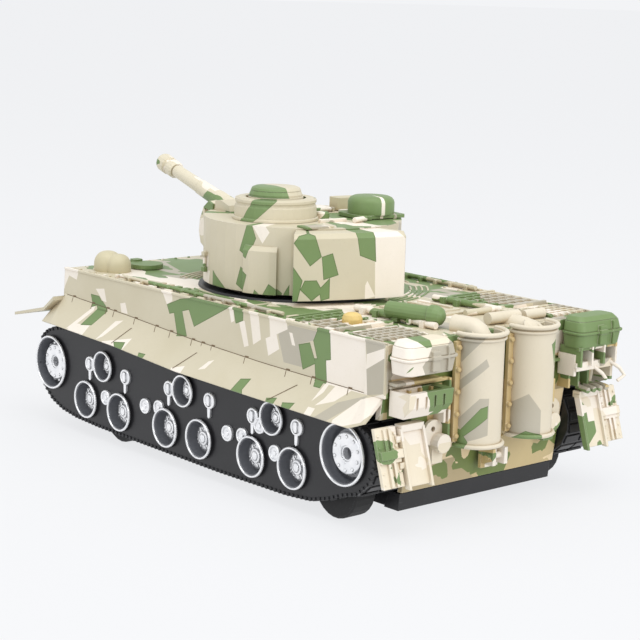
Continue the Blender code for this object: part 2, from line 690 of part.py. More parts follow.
def deck_fittings():
    dome = turned(
        ((0, DECK_Z + GAP), (7.2, DECK_Z + GAP), (7.4, DECK_Z + 2.0), (7.2, DECK_Z + 5.0),
        (6.2, DECK_Z + 7.6), (4.2, DECK_Z + 9.6),
         (2.0, DECK_Z + 10.5), (0, DECK_Z + 10.8)),
        (54.0, -14.0, 0), "z", 14,
    )
    lobe = turned(
        ((0, DECK_Z + GAP), (6.0, DECK_Z + GAP), (6.2, DECK_Z + 3.0), (5.4, DECK_Z + 6.6),
        (3.2, DECK_Z + 8.8), (0, DECK_Z + 9.6)),
        (50.0, -7.5, 0), "z", 12,
    )
    join(dome, lobe)
    pair(dome, "headlamp_dome", "camo_plastic")
    tube = turned(
        ((0, 0.0), (3.4, 0.0), (3.6, 0.4), (3.6, 20.0), (4.4, 20.6), (4.4, 23.0), (3.4, 25.4),
        (1.8, 26.6), (0, 27.0)),
        (0, 0, 0), "y", 16,
    )
    spread = Matrix.Rotation(math.radians(14), 4, "Z")
    moved(tube, Matrix.Translation((27.0, 160.0, DECK_Z + 4.9)) @ spread)
    join(tube, box(25.4, 28.0, 163.0, 166.0, DECK_Z + GAP, DECK_Z + 3.0))
    finish(tube, "deck_tube", "camo_plastic")
    cap = turned(
        ((0, DECK_Z + GAP), (4.2, DECK_Z + GAP), (4.2, DECK_Z + 2.4), (3.6, DECK_Z + 4.0),
        (2.0, DECK_Z + 4.8), (0, DECK_Z + 5.0)),
        (45.0, 158.0, 0), "z", 16,
    )
    finish(cap, "filler_cap", "camo_plastic")
    for sign, name in ((1, "left"), (-1, "right")):
        hatch = prism(circle((sign * 30.0, -6.0), 8.0, 20), "z", DECK_Z + GAP, DECK_Z + 2.4)
        join(hatch, prism(rounded(sign * 30.0 - 2.4, sign * 30.0 + 2.4, -16.6, -12.0, 0.8, 2), "z",
            DECK_Z + GAP, DECK_Z + 3.4))
        finish(hatch, "crew_hatch_" + name, "camo_plastic")


# ---------------------------------------------------------------- turret and gun


def turret_outline(radius, front, count=34):
    limit = math.acos(-front / radius)
    first = -math.pi / 2 + limit
    last = 3 * math.pi / 2 - limit
    return [
        (radius * math.cos(first + (last - first) * i / (count - 1)),
        radius * math.sin(first + (last - first) * i / (count - 1)))
        for i in range(count)
    ]


def turret():
    outer = turret_outline(TURRET_R, -35.0)
    inner = turret_outline(TURRET_R - 1.8, -33.2)
    shell = prism(outer, "z", TURRET_Z0, TURRET_Z1)
    cut(shell, prism(inner, "z", TURRET_Z0 - 2.0, TURRET_Z1 - 1.8))
    # The gun slot in the front plate, a raised sight housing, and the box on the left wall.
    cut(shell, box(-16.0, 16.0, -37.0, -31.0, 88.0, 106.4))
    hump = prism(((-34.6, 107.4), (-20.0, 107.4), (-22.0, 111.6), (-30.0, 113.4), (-34.6, 112.6)), "x",
        12.0, 26.0)
    side = [(r * math.cos(math.radians(a)), r * math.sin(math.radians(a))) for r, a in (
        (43.6, 24), (46.4, 24), (47.2, 28), (47.2, 34), (47.2, 40), (46.6, 44), (43.6, 44))]
    block = loft([[(x, y, TURRET_Z0) for x, y in side], [(x, y, 97.8) for x, y in side],
                  [(x * 0.965, y * 0.965, 99.8) for x, y in side]])
    lugs = [box(x, x + 1.1, -9.2, -7.5, 108.0, 110.6) for x in (-22.3, -11.8)]
    join(shell, hump, block, *lugs)
    finish(on_turret(shell), "turret_shell", "camo_plastic", (0, TURRET_Y, 94.0))
    base = prism(turret_outline(TURRET_R - 2.3, -32.6, 24), "z", TURRET_Z0 + 0.4, TURRET_Z0 + 2.2)
    join(
        base,
        prism(circle((0, 0), 36.0, 24), "z", 77.6, 78.7),
        prism(circle((0, 0), 31.0, 24), "z", 78.2, TURRET_Z0 + 1.2),
        prism(circle((0, 0), 28.0, 24), "z", 71.2, 78.6),
        prism(circle((0, 0), 34.0, 24, 0.05), "z", 70.6, 73.6),
    )
    cut(base, prism(circle((0, 0), 22.6, 16), "z", 60.0, 84.0),
        box(-60.0, 60.0, 30.6, 60.0, 70.0, 74.1), box(-60.0, 60.0, -60.0, -30.6, 70.0, 74.1))
    finish(on_turret(base), "turret_base", "black_plastic", (0, TURRET_Y, 80.0))
    # The stowage bin wraps the rear of the turret, a little to its left.
    spread = [math.radians(80 + a) for a in range(-26, 27, 4)]
    rear_points = []
    for a in spread:
        reach = 55.4 + 4.4 * (math.sin(a - math.radians(80)) / math.sin(math.radians(26))) ** 2
        rear_points.append((reach * math.cos(a), reach * math.sin(a)))
    inner_r = TURRET_R + 0.4
    front_points = [(inner_r * math.cos(a), inner_r * math.sin(a)) for a in reversed(spread)]
    ring = rear_points + front_points
    low = [(x, y, TURRET_Z0) for x, y in ring]
    mid = [(x, y, 105.6) for x, y in ring]
    top = [(x * 0.975, y * 0.975, 107.8) for x, y in rear_points] + [(x, y, 107.8) for x, y in front_points]
    bin_box = loft([low, mid, top])
    finish(on_turret(bin_box), "stowage_bin", "camo_plastic")


def cupola_parts():
    cx, cy = 16.8, 3.6
    drum = turned(
        ((18.6, TURRET_Z1 + GAP), (18.3, 114.6), (17.8, 115.2), (17.8, 117.6), (17.2, 118.2),
        (13.6, 118.2), (13.6, 112.8), (11.0, 112.8),
         (11.0, TURRET_Z1 + GAP)),
        (cx, cy, 0), "z", 26,
    )
    finish(on_turret(drum), "cupola", "camo_plastic", turret_point(cx, cy, 110.0))
    lid = turned(
        ((0, 109.4), (3.0, 109.4), (3.0, 114.0), (11.4, 114.0), (11.9, 114.6), (11.9, 119.6),
        (11.2, 121.2), (9.0, 122.2), (0, 122.6)),
        (cx, cy, 0), "z", 20,
    )
    finish(on_turret(lid), "cupola_lid", "camo_plastic", turret_point(cx, cy, 116.0))
    cx, cy = -27.4, 14.6
    drum = prism(rounded(cx - 12.5, cx + 11.5, cy - 11.5, cy + 11.5, 3.0, 2), "z", TURRET_Z1 + GAP, 110.4)
    join(drum, turned(
        ((0, 109.6), (10.2, 109.6), (10.4, 110.6), (10.4, 115.4), (9.6, 117.2), (8.0, 118.0),
        (0, 118.2)), (cx, cy, 0), "z", 20))
    cut(drum, box(-60, -20, 24.0, 60.0, 100.0, 130.0))
    finish(on_turret(drum), "loader_cover", "camo_plastic")
    flap = box(-22.5, -10.5, -20.5, -10.0, TURRET_Z1 + GAP, 110.3)
    join(
        flap,
        box(-19.6, -13.4, -10.6, -8.4, 109.0, 110.2),
        prism(circle((FLAP_Y, FLAP_Z), 0.85, 12), "x", -20.8, -12.2),
    )
    finish(on_turret(flap), "roof_flap", "camo_plastic", turret_point(-16.5, FLAP_Y, FLAP_Z))
    vent = prism(rounded(-38.0, -25.0, -17.0, -9.0, 1.2, 2), "z", TURRET_Z1 + GAP, 114.6)
    finish(on_turret(vent), "roof_vent", "camo_plastic")


def gun():
    # The mantlet: a wide rounded block before the front plate, with a rear boss through the gun slot.
    outline = (
        (-37.4, 87.0), (-46.0, 89.2), (-49.0, 94.0), (-49.4, 100.0), (-47.4, 106.6), (-43.6, 110.6),
        (-40.2, 110.4), (-37.4, 103.5),
    )
    block = prism(outline, "x", -26.0, 26.0)
    boss = box(-13.0, 13.0, -38.0, -26.0, 91.5, 104.0)
    join(block, boss)
    cut(block, box(24.2, 28.0, -46.0, -40.6, 100.6, 106.4), box(-28.0, -24.2, -46.0, -40.6, 100.6, 106.4))
    collar = turned(((0, -56.0), (5.6, -56.0), (6.4, -55.2), (7.6, -48.0), (7.6, -45.0), (0, -45.0)),
        (0, 0, TRUNNION_Z), "y", 18)
    join(block, collar)
    cut(block, prism(circle((0, TRUNNION_Z), 3.2, 20), "y", -60.0, -40.0))
    pivot = turret_point(0, TRUNNION_Y, TRUNNION_Z)
    finish(on_gun(block), "mantlet", "camo_plastic", pivot)
    barrel = turned(
        ((0, -121.4), (2.6, -121.4), (2.6, -95.0), (3.2, -94.4), (3.2, -78.0), (3.9, -77.2),
        (3.9, -57.0), (2.85, -56.4), (2.85, -41.0),
         (0, -41.0)),
        (0, 0, TRUNNION_Z), "y", 16,
    )
    finish(on_gun(barrel), "gun_barrel", "camo_plastic", pivot)
    brake = turned(
        ((0, -122.0), (3.6, -122.0), (4.4, -123.0), (4.4, -127.0), (3.5, -127.6), (3.5, -129.6),
        (4.7, -130.2), (4.7, -135.6), (4.0, -136.4),
         (1.9, -136.4), (1.9, -124.0), (0, -124.0)),
        (0, 0, TRUNNION_Z), "y", 16,
    )
    finish(on_gun(brake), "muzzle_brake", "camo_plastic")


def build():
    clear_scene()
    upper_hull()
    tray()
    hull_covers()
    running_gear()
    drive_line()
    electrics()
    rear_fittings()
    deck_fittings()
    turret()
    cupola_parts()
    gun()


build()
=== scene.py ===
"""The looks of the toy tank: camouflage plastic, plated wheels, black running gear and the fine mouldings."""

import math

import bmesh
import bpy
from mathutils import Matrix, Vector


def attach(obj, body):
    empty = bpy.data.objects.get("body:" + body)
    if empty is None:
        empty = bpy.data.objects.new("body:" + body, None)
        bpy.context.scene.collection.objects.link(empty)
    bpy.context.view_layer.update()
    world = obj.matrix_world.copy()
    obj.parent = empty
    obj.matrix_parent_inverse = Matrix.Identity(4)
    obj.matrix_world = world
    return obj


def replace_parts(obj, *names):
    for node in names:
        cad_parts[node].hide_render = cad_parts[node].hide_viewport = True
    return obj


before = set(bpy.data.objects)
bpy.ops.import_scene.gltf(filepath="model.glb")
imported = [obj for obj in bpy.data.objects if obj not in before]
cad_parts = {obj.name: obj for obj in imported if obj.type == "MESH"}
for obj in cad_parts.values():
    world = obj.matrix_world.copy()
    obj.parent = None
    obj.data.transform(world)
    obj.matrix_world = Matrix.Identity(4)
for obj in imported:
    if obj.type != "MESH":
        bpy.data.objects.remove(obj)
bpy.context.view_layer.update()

# Sizes are in millimetres. +x is the tank's left and -y its front. y counts from the first road wheel and
# z from the floor.
MM = 0.001
Y_MID = 75.675
DECK_Z = 76.3
DECK_X = 63.0
SKIRT_X = 72.0
PANEL_X = 67.0
PRINT_X = 62.3  # farther out than this is a side plate
TURRET_Y = 73.2
TURRET_YAW = math.radians(-8.0)
TURRET_R = 44.9
TURRET_Z1 = 108.4
CUPOLA_AT = (16.8, 3.6)
LOADER_AT = (-27.4, 14.6)
GUN_PITCH = math.radians(-12.8)
TRUNNION_Y = -37.0
TRUNNION_Z = 98.6
SHROUD_X = 15.2
SHROUD_Y = 200.8
SMOOTH_BELOW = math.radians(34)
BEVEL_ABOVE = math.radians(32)
CORNER_STEPS = 5

BIG_WHEELS = ((-29.9, 30.5), (180.1, 30.3))
ROAD_WHEELS = ((0.0, 17.9), (27.1, 17.0), (62.9, 17.0), (87.4, 17.0), (123.3, 17.0), (150.0, 17.9))
ROLLERS = ((13.9, 36.0), (75.4, 36.0), (136.2, 36.0))
PADDLES = ((2.9, 35.3), (31.4, 34.2), (64.9, 35.1), (93.9, 35.2), (123.6, 34.4), (151.8, 35.3))
CAPS = ((16.0, 21.7), (47.1, 23.8), (57.5, 25.0), (106.8, 23.6), (116.9, 24.5), (138.4, 21.7), (128.3, 31.3))
PANEL = (
    (-28.0, 47.6), (-34.5, 46.0), (-39.5, 42.4), (-42.3, 37.0), (-42.7, 31.0), (-41.6, 24.0), (-37.6, 17.2),
    (-31.0, 12.0), (-22.0, 8.8), (-10.0, 7.0), (8.0, 6.1), (40.0, 5.6), (100.0, 4.9), (145.0, 5.3),
    (160.0, 6.4), (171.0, 9.4), (180.0, 12.9), (188.0, 15.0), (194.2, 20.4), (197.4, 27.4), (197.4, 34.0),
    (194.0, 40.6), (189.0, 42.9), (124.0, 44.1), (75.0, 45.2), (26.0, 48.5), (-10.0, 49.4), (-22.0, 48.9),
)

AT_TURRET = Matrix.Translation((0, TURRET_Y, 0)) @ Matrix.Rotation(TURRET_YAW, 4, "Z")
AT_GUN = (
    AT_TURRET
    @ Matrix.Translation((0, TRUNNION_Y, TRUNNION_Z))
    @ Matrix.Rotation(GUN_PITCH, 4, "X")
    @ Matrix.Translation((0, -TRUNNION_Y, -TRUNNION_Z))
)


def lerp(x, xs, ys):
    """Straight lines between points, held level past both ends."""
    if x <= xs[0]:
        return ys[0]
    for x0, x1, y0, y1 in zip(xs, xs[1:], ys, ys[1:]):
        if x <= x1:
            return y0 + (y1 - y0) * (x - x0) / (x1 - x0)
    return ys[-1]


SIDE_STATIONS = (-26, 26, 75, 124, 187, 196)


def notch_z(y):
    """The height of the notched seam between a side plate and its skirt."""
    return lerp(y, SIDE_STATIONS, (64.0, 61.4, 58.3, 56.4, 55.4, 54.9))


def skirt_z(y):
    """The height of a skirt's lower edge."""
    return lerp(y, SIDE_STATIONS, (50.4, 48.3, 44.9, 43.8, 42.6, 46.0))


# ---------------------------------------------------------------- shapes


def circle(centre, radius, count, start=0.0):
    angles = [start + 2 * math.pi * i / count for i in range(count)]
    return [(centre[0] + radius * math.cos(a), centre[1] + radius * math.sin(a)) for a in angles]


def arc(centre, radius, first, last, steps):
    """Points along part of a circle, from one angle to another in degrees."""
    angles = [math.radians(first + (last - first) * i / steps) for i in range(steps + 1)]
    return [(centre[0] + radius * math.cos(a), centre[1] + radius * math.sin(a)) for a in angles]


def rounded(x0, x1, y0, y1, radius):
    """The outline of a rectangle with round corners."""
    points = []
    for x, y, first in ((x1, y1, 0), (x0, y1, 90), (x0, y0, 180), (x1, y0, 270)):
        centre = (x - radius if x == x1 else x + radius, y - radius if y == y1 else y + radius)
        points += arc(centre, radius, first, first + 90, CORNER_STEPS)
    return points


def ring_about(centre, side, other, radius, count):
    """Points round a centre, from two directions at right angles."""
    angles = [2 * math.pi * k / count for k in range(count)]
    return [centre + (side * math.cos(a) + other * math.sin(a)) * radius for a in angles]


class Shape:
    """Closed pieces gathered in one mesh, in millimetres."""

    def __init__(self, place=None):
        self.bm = bmesh.new()
        self.place = place or Matrix.Identity(4)

    def vert(self, point):
        return self.bm.verts.new(self.place @ Vector(point))

    def loft(self, sections):
        """A solid through outlines that have the same number of points."""
        rings = [[self.vert(p) for p in section] for section in sections]
        count = len(rings[0])
        for near, far in zip(rings, rings[1:]):
            for i in range(count):
                j = (i + 1) % count
                self.bm.faces.new((near[i], near[j], far[j], far[i]))
        self.bm.faces.new(rings[0][::-1])
        self.bm.faces.new(rings[-1])
        return self

    def prism(self, points, axis, low, high):
        put = {
            "x": lambda p, q, h: (h, p, q),
            "z": lambda p, q, h: (p, q, h),
        }[axis]
        return self.loft([[put(p, q, h) for p, q in points] for h in (low, high)])

    def box(self, x0, x1, y0, y1, z0, z1):
        """A box. Its two x values may come in either order."""
        x0, x1 = sorted((x0, x1))
        return self.prism(((x0, y0), (x1, y0), (x1, y1), (x0, y1)), "z", z0, z1)

    def turned(self, profile, origin, axis, count):
        """A surface of revolution. The profile is (radius, height) pairs, and a radius of 0 is one point."""
        turn = {
            "x": lambda r, h, a: (h, r * math.cos(a), r * math.sin(a)),
            "y": lambda r, h, a: (r * math.sin(a), h, r * math.cos(a)),
            "z": lambda r, h, a: (r * math.cos(a), r * math.sin(a), h),
        }[axis]
        rings = []
        for r, h in profile:
            angles = [2 * math.pi * i / count for i in range(1 if r == 0 else count)]
            rings.append([self.vert(Vector(turn(r, h, a)) + Vector(origin)) for a in angles])
        pairs = list(zip(rings, rings[1:]))
        if profile[0][0] != 0:
            pairs.append((rings[-1], rings[0]))
        for near, far in pairs:
            for i in range(count):
                j = (i + 1) % count
                ring = (near[i % len(near)], near[j % len(near)], far[j % len(far)], far[i % len(far)])
                corners = list(dict.fromkeys(ring))
                if len(corners) > 2:
                    self.bm.faces.new(corners)
        return self

    def tube(self, path, radius, count=12):
        """A round rod along a path of points."""
        points = [Vector(p) for p in path]
        sections = []
        side = None
        for i, here in enumerate(points):
            ahead = (points[min(i + 1, len(points) - 1)] - points[max(i - 1, 0)]).normalized()
            if side is None:
                side = ahead.orthogonal().normalized()
            side = (side - ahead * side.dot(ahead)).normalized()
            sections.append(ring_about(here, side, ahead.cross(side), radius, count))
        return self.loft(sections)

    def stud(self, point, normal, radius, height, count):
        """A low domed bolt head standing on a surface."""
        n = Vector(normal).normalized()
        side = n.orthogonal().normalized()
        base = Vector(point)
        levels = ((radius, -0.3), (radius, height * 0.55), (radius * 0.72, height))
        return self.loft([ring_about(base + n * h, side, n.cross(side), r, count) for r, h in levels])

    def slab(self, corners, thickness, normal):
        """A flat plate from its corners, with its outer face on them."""
        n = Vector(normal).normalized()
        return self.loft([[Vector(c) - n * thickness for c in corners], [Vector(c) for c in corners]])


def piece(shape, name, material, body="hull", bevel=0.25):
    """One mesh of the looks. It has bevelled edges, or with a bevel of 0 marked sharp ones."""
    bm = shape.bm
    bmesh.ops.recalc_face_normals(bm, faces=bm.faces)
    for face in bm.faces:
        face.smooth = True
    if not bevel:
        for edge in bm.edges:
            two = edge.link_faces
            edge.smooth = len(two) == 2 and two[0].normal.dot(two[1].normal) > math.cos(SMOOTH_BELOW)
    mesh = bpy.data.meshes.new(name)
    bm.to_mesh(mesh)
    mesh.transform(Matrix.Scale(MM, 4) @ Matrix.Translation((0, -Y_MID, 0)))
    bm.free()
    obj = bpy.data.objects.new(name, mesh)
    bpy.context.scene.collection.objects.link(obj)
    mesh.materials.append(material)
    if bevel:
        soften(obj, bevel * MM)
    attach(obj, body)
    return obj

def soften(obj, width):
    edge = obj.modifiers.new("edge", "BEVEL")
    edge.width = width
    edge.segments = 2
    edge.limit_method = "ANGLE"
    edge.angle_limit = BEVEL_ABOVE
    edge.harden_normals = True


def twin(obj, name):
    """The same piece on the other side of the tank."""
    mesh = obj.data.copy()
    mesh.transform(Matrix.Diagonal((-1, 1, 1, 1)))
    mesh.flip_normals()
    other = bpy.data.objects.new(name, mesh)
    bpy.context.scene.collection.objects.link(other)
    for old in obj.modifiers:
        soften(other, old.width)
    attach(other, "hull")
    return other


def both_sides(shape, name, material, bevel=0.25):
    left = piece(shape, name + "_left", material, "hull", bevel)
    return left, twin(left, name + "_right")


# ---------------------------------------------------------------- materials


def colour(red, green, blue):
    """A display colour of 0 to 255 as scene values."""
    made = []
    for part in (red, green, blue):
        c = part / 255
        made.append(c / 12.92 if c <= 0.04045 else ((c + 0.055) / 1.055) ** 2.4)
    return (*made, 1.0)


BEIGE = colour(203, 195, 172)
CREAM = colour(236, 228, 217)
GREEN = colour(114, 138, 88)
GREEN_EDGE = colour(74, 94, 50)
TAUPE = colour(180, 174, 159)
# The warm tan of the painted shade in the plastic's recesses.
RECESS_SHADE_TAN = colour(196, 164, 98)
SHADES = {"green": GREEN, "cream": CREAM, "taupe": TAUPE}


class Graph:
    """Short ways to wire shader nodes."""

    def __init__(self, name):
        self.material = bpy.data.materials.new(name)
        self.material.use_nodes = True
        self.tree = self.material.node_tree
        self.tree.nodes.clear()
        self.shader = self.node("ShaderNodeBsdfPrincipled")
        out = self.node("ShaderNodeOutputMaterial")
        self.tree.links.new(self.shader.outputs[0], out.inputs[0])

    def node(self, kind, *inputs, **settings):
        made = self.tree.nodes.new(kind)
        for key, value in settings.items():
            setattr(made, key, value)
        for i, value in enumerate(inputs):
            self.feed(made.inputs[i], value)
        return made

    def feed(self, socket, value):
        if value is None:
            return
        if isinstance(value, bpy.types.NodeSocket):
            self.tree.links.new(value, socket)
        else:
            socket.default_value = value

    def math(self, operation, a, b=None):
        return self.node("ShaderNodeMath", a, b, operation=operation).outputs[0]

    def times(self, a, b):
        return self.math("MULTIPLY", a, b)

    def above(self, a, limit):
        return self.math("GREATER_THAN", a, limit)

    def below(self, a, limit):
        return self.math("LESS_THAN", a, limit)

    def mix(self, factor, a, b, blend="MIX"):
        made = self.node("ShaderNodeMix", data_type="RGBA", blend_type=blend)
        self.feed(made.inputs[0], factor)
        self.feed(made.inputs[6], a)
        self.feed(made.inputs[7], b)
        return made.outputs[2]

    def ramp(self, value, low, high):
        made = self.node("ShaderNodeMapRange", value, low, high, 0.0, 1.0)
        made.interpolation_type = "SMOOTHSTEP"
        return made.outputs[0]

    def noise(self, vector, scale, detail):
        made = self.node("ShaderNodeTexNoise")
        self.feed(made.inputs["Vector"], vector)
        made.inputs["Scale"].default_value = scale
        made.inputs["Detail"].default_value = detail
        made.inputs["Roughness"].default_value = 0.55
        return made.outputs["Fac"]

    def place(self):
        """Position on the piece in millimetres, in the tank's own axes."""
        coords = self.node("ShaderNodeTexCoord").outputs["Object"]
        scaled = self.node("ShaderNodeVectorMath", coords, operation="SCALE")
        scaled.inputs["Scale"].default_value = 1 / MM
        moved = self.node("ShaderNodeVectorMath", scaled.outputs[0], (0, Y_MID, 0), operation="ADD")
        return moved.outputs[0]

    def undo(self, vector, location, rotation):
        return self.node("ShaderNodeMapping", vector, location, rotation, vector_type="TEXTURE").outputs[0]

    def split(self, vector):
        return self.node("ShaderNodeSeparateXYZ", vector).outputs

    def join(self, x, y, z):
        return self.node("ShaderNodeCombineXYZ", x, y, z).outputs[0]

    def polygon(self, flat, points):
        """How far outside a convex polygon a point is, in millimetres. Below 0 is inside."""
        area = sum(p[0] * q[1] - q[0] * p[1] for p, q in zip(points, points[1:] + points[:1]))
        if area < 0:
            points = points[::-1]
        far = None
        for p, q in zip(points, points[1:] + points[:1]):
            dx, dy = q[0] - p[0], q[1] - p[1]
            size = math.hypot(dx, dy)
            nx, ny = dy / size, -dx / size
            line = (nx, ny, -(nx * p[0] + ny * p[1]))
            step = self.node("ShaderNodeVectorMath", flat, line, operation="DOT_PRODUCT").outputs["Value"]
            far = step if far is None else self.math("MAXIMUM", far, step)
        return far

    def patches(self, flat, shapes):
        """The nearest of several polygons, as a distance."""
        near = None
        for points in shapes:
            far = self.polygon(flat, list(points))
            near = far if near is None else self.math("MINIMUM", near, far)
        return near

    def wear(self, radius):
        """1 on sharp outer edges, 0 on flats, and the softened normal."""
        soft = self.node("ShaderNodeBevel", radius * MM, samples=4).outputs[0]
        flat = self.node("ShaderNodeNewGeometry").outputs["Normal"]
        same = self.node("ShaderNodeVectorMath", soft, flat, operation="DOT_PRODUCT").outputs["Value"]
        return self.ramp(self.math("SUBTRACT", 1.0, same), 0.02, 0.30), soft

    def painted_shade_mask(self, reach, low):
        """1 deep in recesses, 0 in the open: the mask for painted shade."""
        hidden = self.node("ShaderNodeAmbientOcclusion", samples=6)
        hidden.inputs["Distance"].default_value = reach * MM
        return self.math("SUBTRACT", 1.0, self.ramp(hidden.outputs["AO"], low, 0.85))

    def surface(self, tint, rough, cloud, grain, strength, depth, soft):
        """The colour, a roughness that varies with the cloud, and a fine bump on the softened normal."""
        self.feed(self.shader.inputs["Base Color"], tint)
        varied = self.math("ADD", rough[0], self.times(cloud, rough[1] - rough[0]))
        self.feed(self.shader.inputs["Roughness"], varied)
        bump = self.node("ShaderNodeBump")
        bump.inputs["Strength"].default_value = strength
        bump.inputs["Distance"].default_value = depth * MM
        self.feed(bump.inputs["Height"], grain)
        self.feed(bump.inputs["Normal"], soft)
        self.feed(self.shader.inputs["Normal"], bump.outputs[0])


def scatter(graph, vector, turn, size, seed):
    """Angular cells with one random number each."""
    shrink = tuple(1 / s for s in size)
    spun = graph.node("ShaderNodeMapping", vector, (seed, seed * 0.7, -seed), turn, shrink)
    cells = graph.node("ShaderNodeTexVoronoi", distance="CHEBYCHEV")
    graph.feed(cells.inputs["Vector"], spun.outputs[0])
    cells.inputs["Scale"].default_value = 1.0
    return graph.split(cells.outputs["Color"])[0]


def general_print(g, local, base, green, cream, seed):
    """A camouflage of large and small shards. green and cream are shares of the area."""
    big = scatter(g, local, (0.35, 0.62, 0.78), (17.0, 30.0, 15.0), seed)
    small = scatter(g, local, (0.7, 0.2, 1.0), (8.0, 17.0, 6.5), seed + 5.0)
    tint = g.mix(g.above(big, 1.0 - cream), base, CREAM)
    tint = g.mix(g.above(small, 0.90), tint, CREAM)
    tint = g.mix(g.below(g.math("ABSOLUTE", g.math("SUBTRACT", big, 0.5)), 0.045), tint, TAUPE)
    dark = g.math("MAXIMUM", g.below(big, green), g.below(small, green * 0.28))
    dark = g.times(dark, g.below(small, 0.86))
    return g.mix(dark, tint, GREEN)


def camo(name, at="hull", general=True, layers=(), green=0.24, cream=0.24, base=BEIGE, seed=3.0, shell=False):
    """Satin plastic in one colour or with a printed camouflage.

    The general print covers the whole piece. Layers, of (shade, region, patches), lie over it in order.
    The hull's shell has no general print on its side plates, and a painted shadow warms its low rear plate.
    """
    g = Graph(name)
    local = g.place()
    if at in ("turret", "gun"):
        local = g.undo(local, (0, TURRET_Y, 0), (0, 0, TURRET_YAW))
    if at == "gun":
        local = g.undo(local, (0, TRUNNION_Y, TRUNNION_Z), (GUN_PITCH, 0, 0))
    x, y, z = g.split(local)
    tint = general_print(g, local, base, green, cream, seed) if general else base
    if shell:
        tint = g.mix(side_plates(g, x), tint, base)
    flats = {}
    for shade, region, shapes in layers:
        if region not in flats:
            flats[region] = region(g, x, y, z)
        flat, inside = flats[region]
        far = g.patches(flat, shapes)
        printed = g.times(g.below(far, 0.0), inside)
        tint = g.mix(printed, tint, SHADES[shade])
        if shade == "green":
            # A thin darker line just inside the edge.
            rim = g.below(g.math("ABSOLUTE", g.math("ADD", far, 0.18)), 0.18)
            tint = g.mix(g.times(g.times(rim, inside), 0.55), tint, GREEN_EDGE)
    if shell:
        # Painted shadow: the low rear plate lies in the shadow of the fittings over it, so its colour is made
        # warmer and darker.
        low = g.times(g.above(y, 188.0), g.below(z, 62.0))
        low = g.times(low, g.below(g.math("ABSOLUTE", x), 61.0))
        tint = g.mix(low, tint, g.mix(1.0, tint, colour(252, 238, 205), "MULTIPLY"))
    plastic(g, tint, local)
    return g.material


def plastic(g, tint, local):
    """Moulded plastic: faint mottling, painted warm shade in the recesses, rubbed edges and a fine grain."""
    cloud = g.noise(local, 0.035, 4.0)
    tint = g.mix(g.ramp(cloud, 0.2, 0.8), tint, g.mix(1.0, tint, (0.93, 0.92, 0.88, 1), "MULTIPLY"))
    speck = g.noise(local, 1.1, 2.0)
    tint = g.mix(g.times(g.ramp(speck, 0.60, 0.75), 0.10), tint, (0.35, 0.30, 0.20, 1))
    edge, soft = g.wear(0.45)
    tint = g.mix(g.times(edge, 0.38), tint, (0.93, 0.90, 0.82, 1))
    # Painted shade: the recesses darken towards a warm tan.
    tint = g.mix(g.times(g.painted_shade_mask(5.0, 0.15), 0.42), tint, g.mix(1.0, tint, RECESS_SHADE_TAN, "MULTIPLY"))
    grain = g.math("ADD", g.noise(local, 3.2, 2.0), g.times(g.noise(local, 0.5, 2.0), 0.6))
    g.shader.inputs["Specular IOR Level"].default_value = 0.45
    g.surface(tint, (0.40, 0.56), cloud, grain, 0.35, 0.05, soft)


def black_plastic(name, shade, rough=(0.30, 0.48), scuff=0.16):
    """Dark plastic or rubber, with scuffs and rubbed edges."""
    g = Graph(name)
    local = g.place()
    cloud = g.noise(local, 0.06, 4.0)
    tint = g.mix(g.ramp(cloud, 0.3, 0.8), colour(*shade), colour(*[c + 9 for c in shade]))
    stretched = g.node("ShaderNodeMapping", local, (0, 0, 0), (0.4, 0.1, 0.9), (0.25, 2.2, 2.2)).outputs[0]
    scrape = g.ramp(g.noise(stretched, 1.0, 3.0), 0.62, 0.78)
    tint = g.mix(g.times(scrape, scuff), tint, colour(120, 120, 122))
    edge, soft = g.wear(0.4)
    tint = g.mix(g.times(edge, 0.35), tint, colour(112, 112, 116))
    grain = g.math("ADD", g.noise(local, 2.4, 2.0), g.times(cloud, 0.4))
    g.surface(tint, rough, cloud, grain, 0.3, 0.06, soft)
    return g.material


def metal(name, bright, dull, rough, metallic=1.0):
    """Plating or bare metal, with painted shade that darkens its recesses."""
    g = Graph(name)
    local = g.place()
    cloud = g.noise(local, 0.22, 4.0)
    tint = g.mix(g.ramp(cloud, 0.35, 0.7), bright, dull)
    # Painted shade: the recesses go near black.
    tint = g.mix(g.times(g.painted_shade_mask(1.6, 0.25), 0.88), tint, (0.02, 0.02, 0.025, 1))
    g.shader.inputs["Metallic"].default_value = metallic
    soft = g.wear(0.25)[1]
    g.surface(tint, (rough, rough + 0.12), cloud, g.noise(local, 1.6, 3.0), 0.3, 0.03, soft)
    return g.material


# Where each set of printed patches lies: a flat coordinate, in millimetres or degrees along and millimetres
# up, and 1 where the set applies.


def side_plates(g, x):
    return g.above(g.math("ABSOLUTE", x), PRINT_X)


def hull_side(g, x, y, z):
    """Both side plates. The right side has the same print turned end for end."""
    left = g.above(x, 0.0)
    right = g.math("SUBTRACT", 1.0, left)
    other_way = g.math("SUBTRACT", 150.0, y)
    along = g.math("ADD", g.times(y, left), g.times(other_way, right))
    return g.join(along, z, 1.0), side_plates(g, x)


def degrees_about(g, x, y, centre):
    """The angle round an upright axis."""
    angle = g.math("ARCTAN2", g.math("SUBTRACT", y, centre[1]), g.math("SUBTRACT", x, centre[0]))
    return g.times(angle, 180 / math.pi)


def turret_wall(g, x, y, z):
    angle = degrees_about(g, x, y, (0.0, 0.0))
    return g.join(angle, z, 1.0), g.above(angle, -90.0)


def shroud_wall(g, x, y, z):
    """Round both shrouds, with 300 degrees added on the right one."""
    own = g.math("SUBTRACT", x, g.times(g.math("SIGN", x), SHROUD_X))
    angle = degrees_about(g, own, y, (0.0, SHROUD_Y))
    shifted = g.math("ADD", angle, g.times(g.below(x, 0.0), 300.0))
    return g.join(shifted, z, 1.0), 1.0


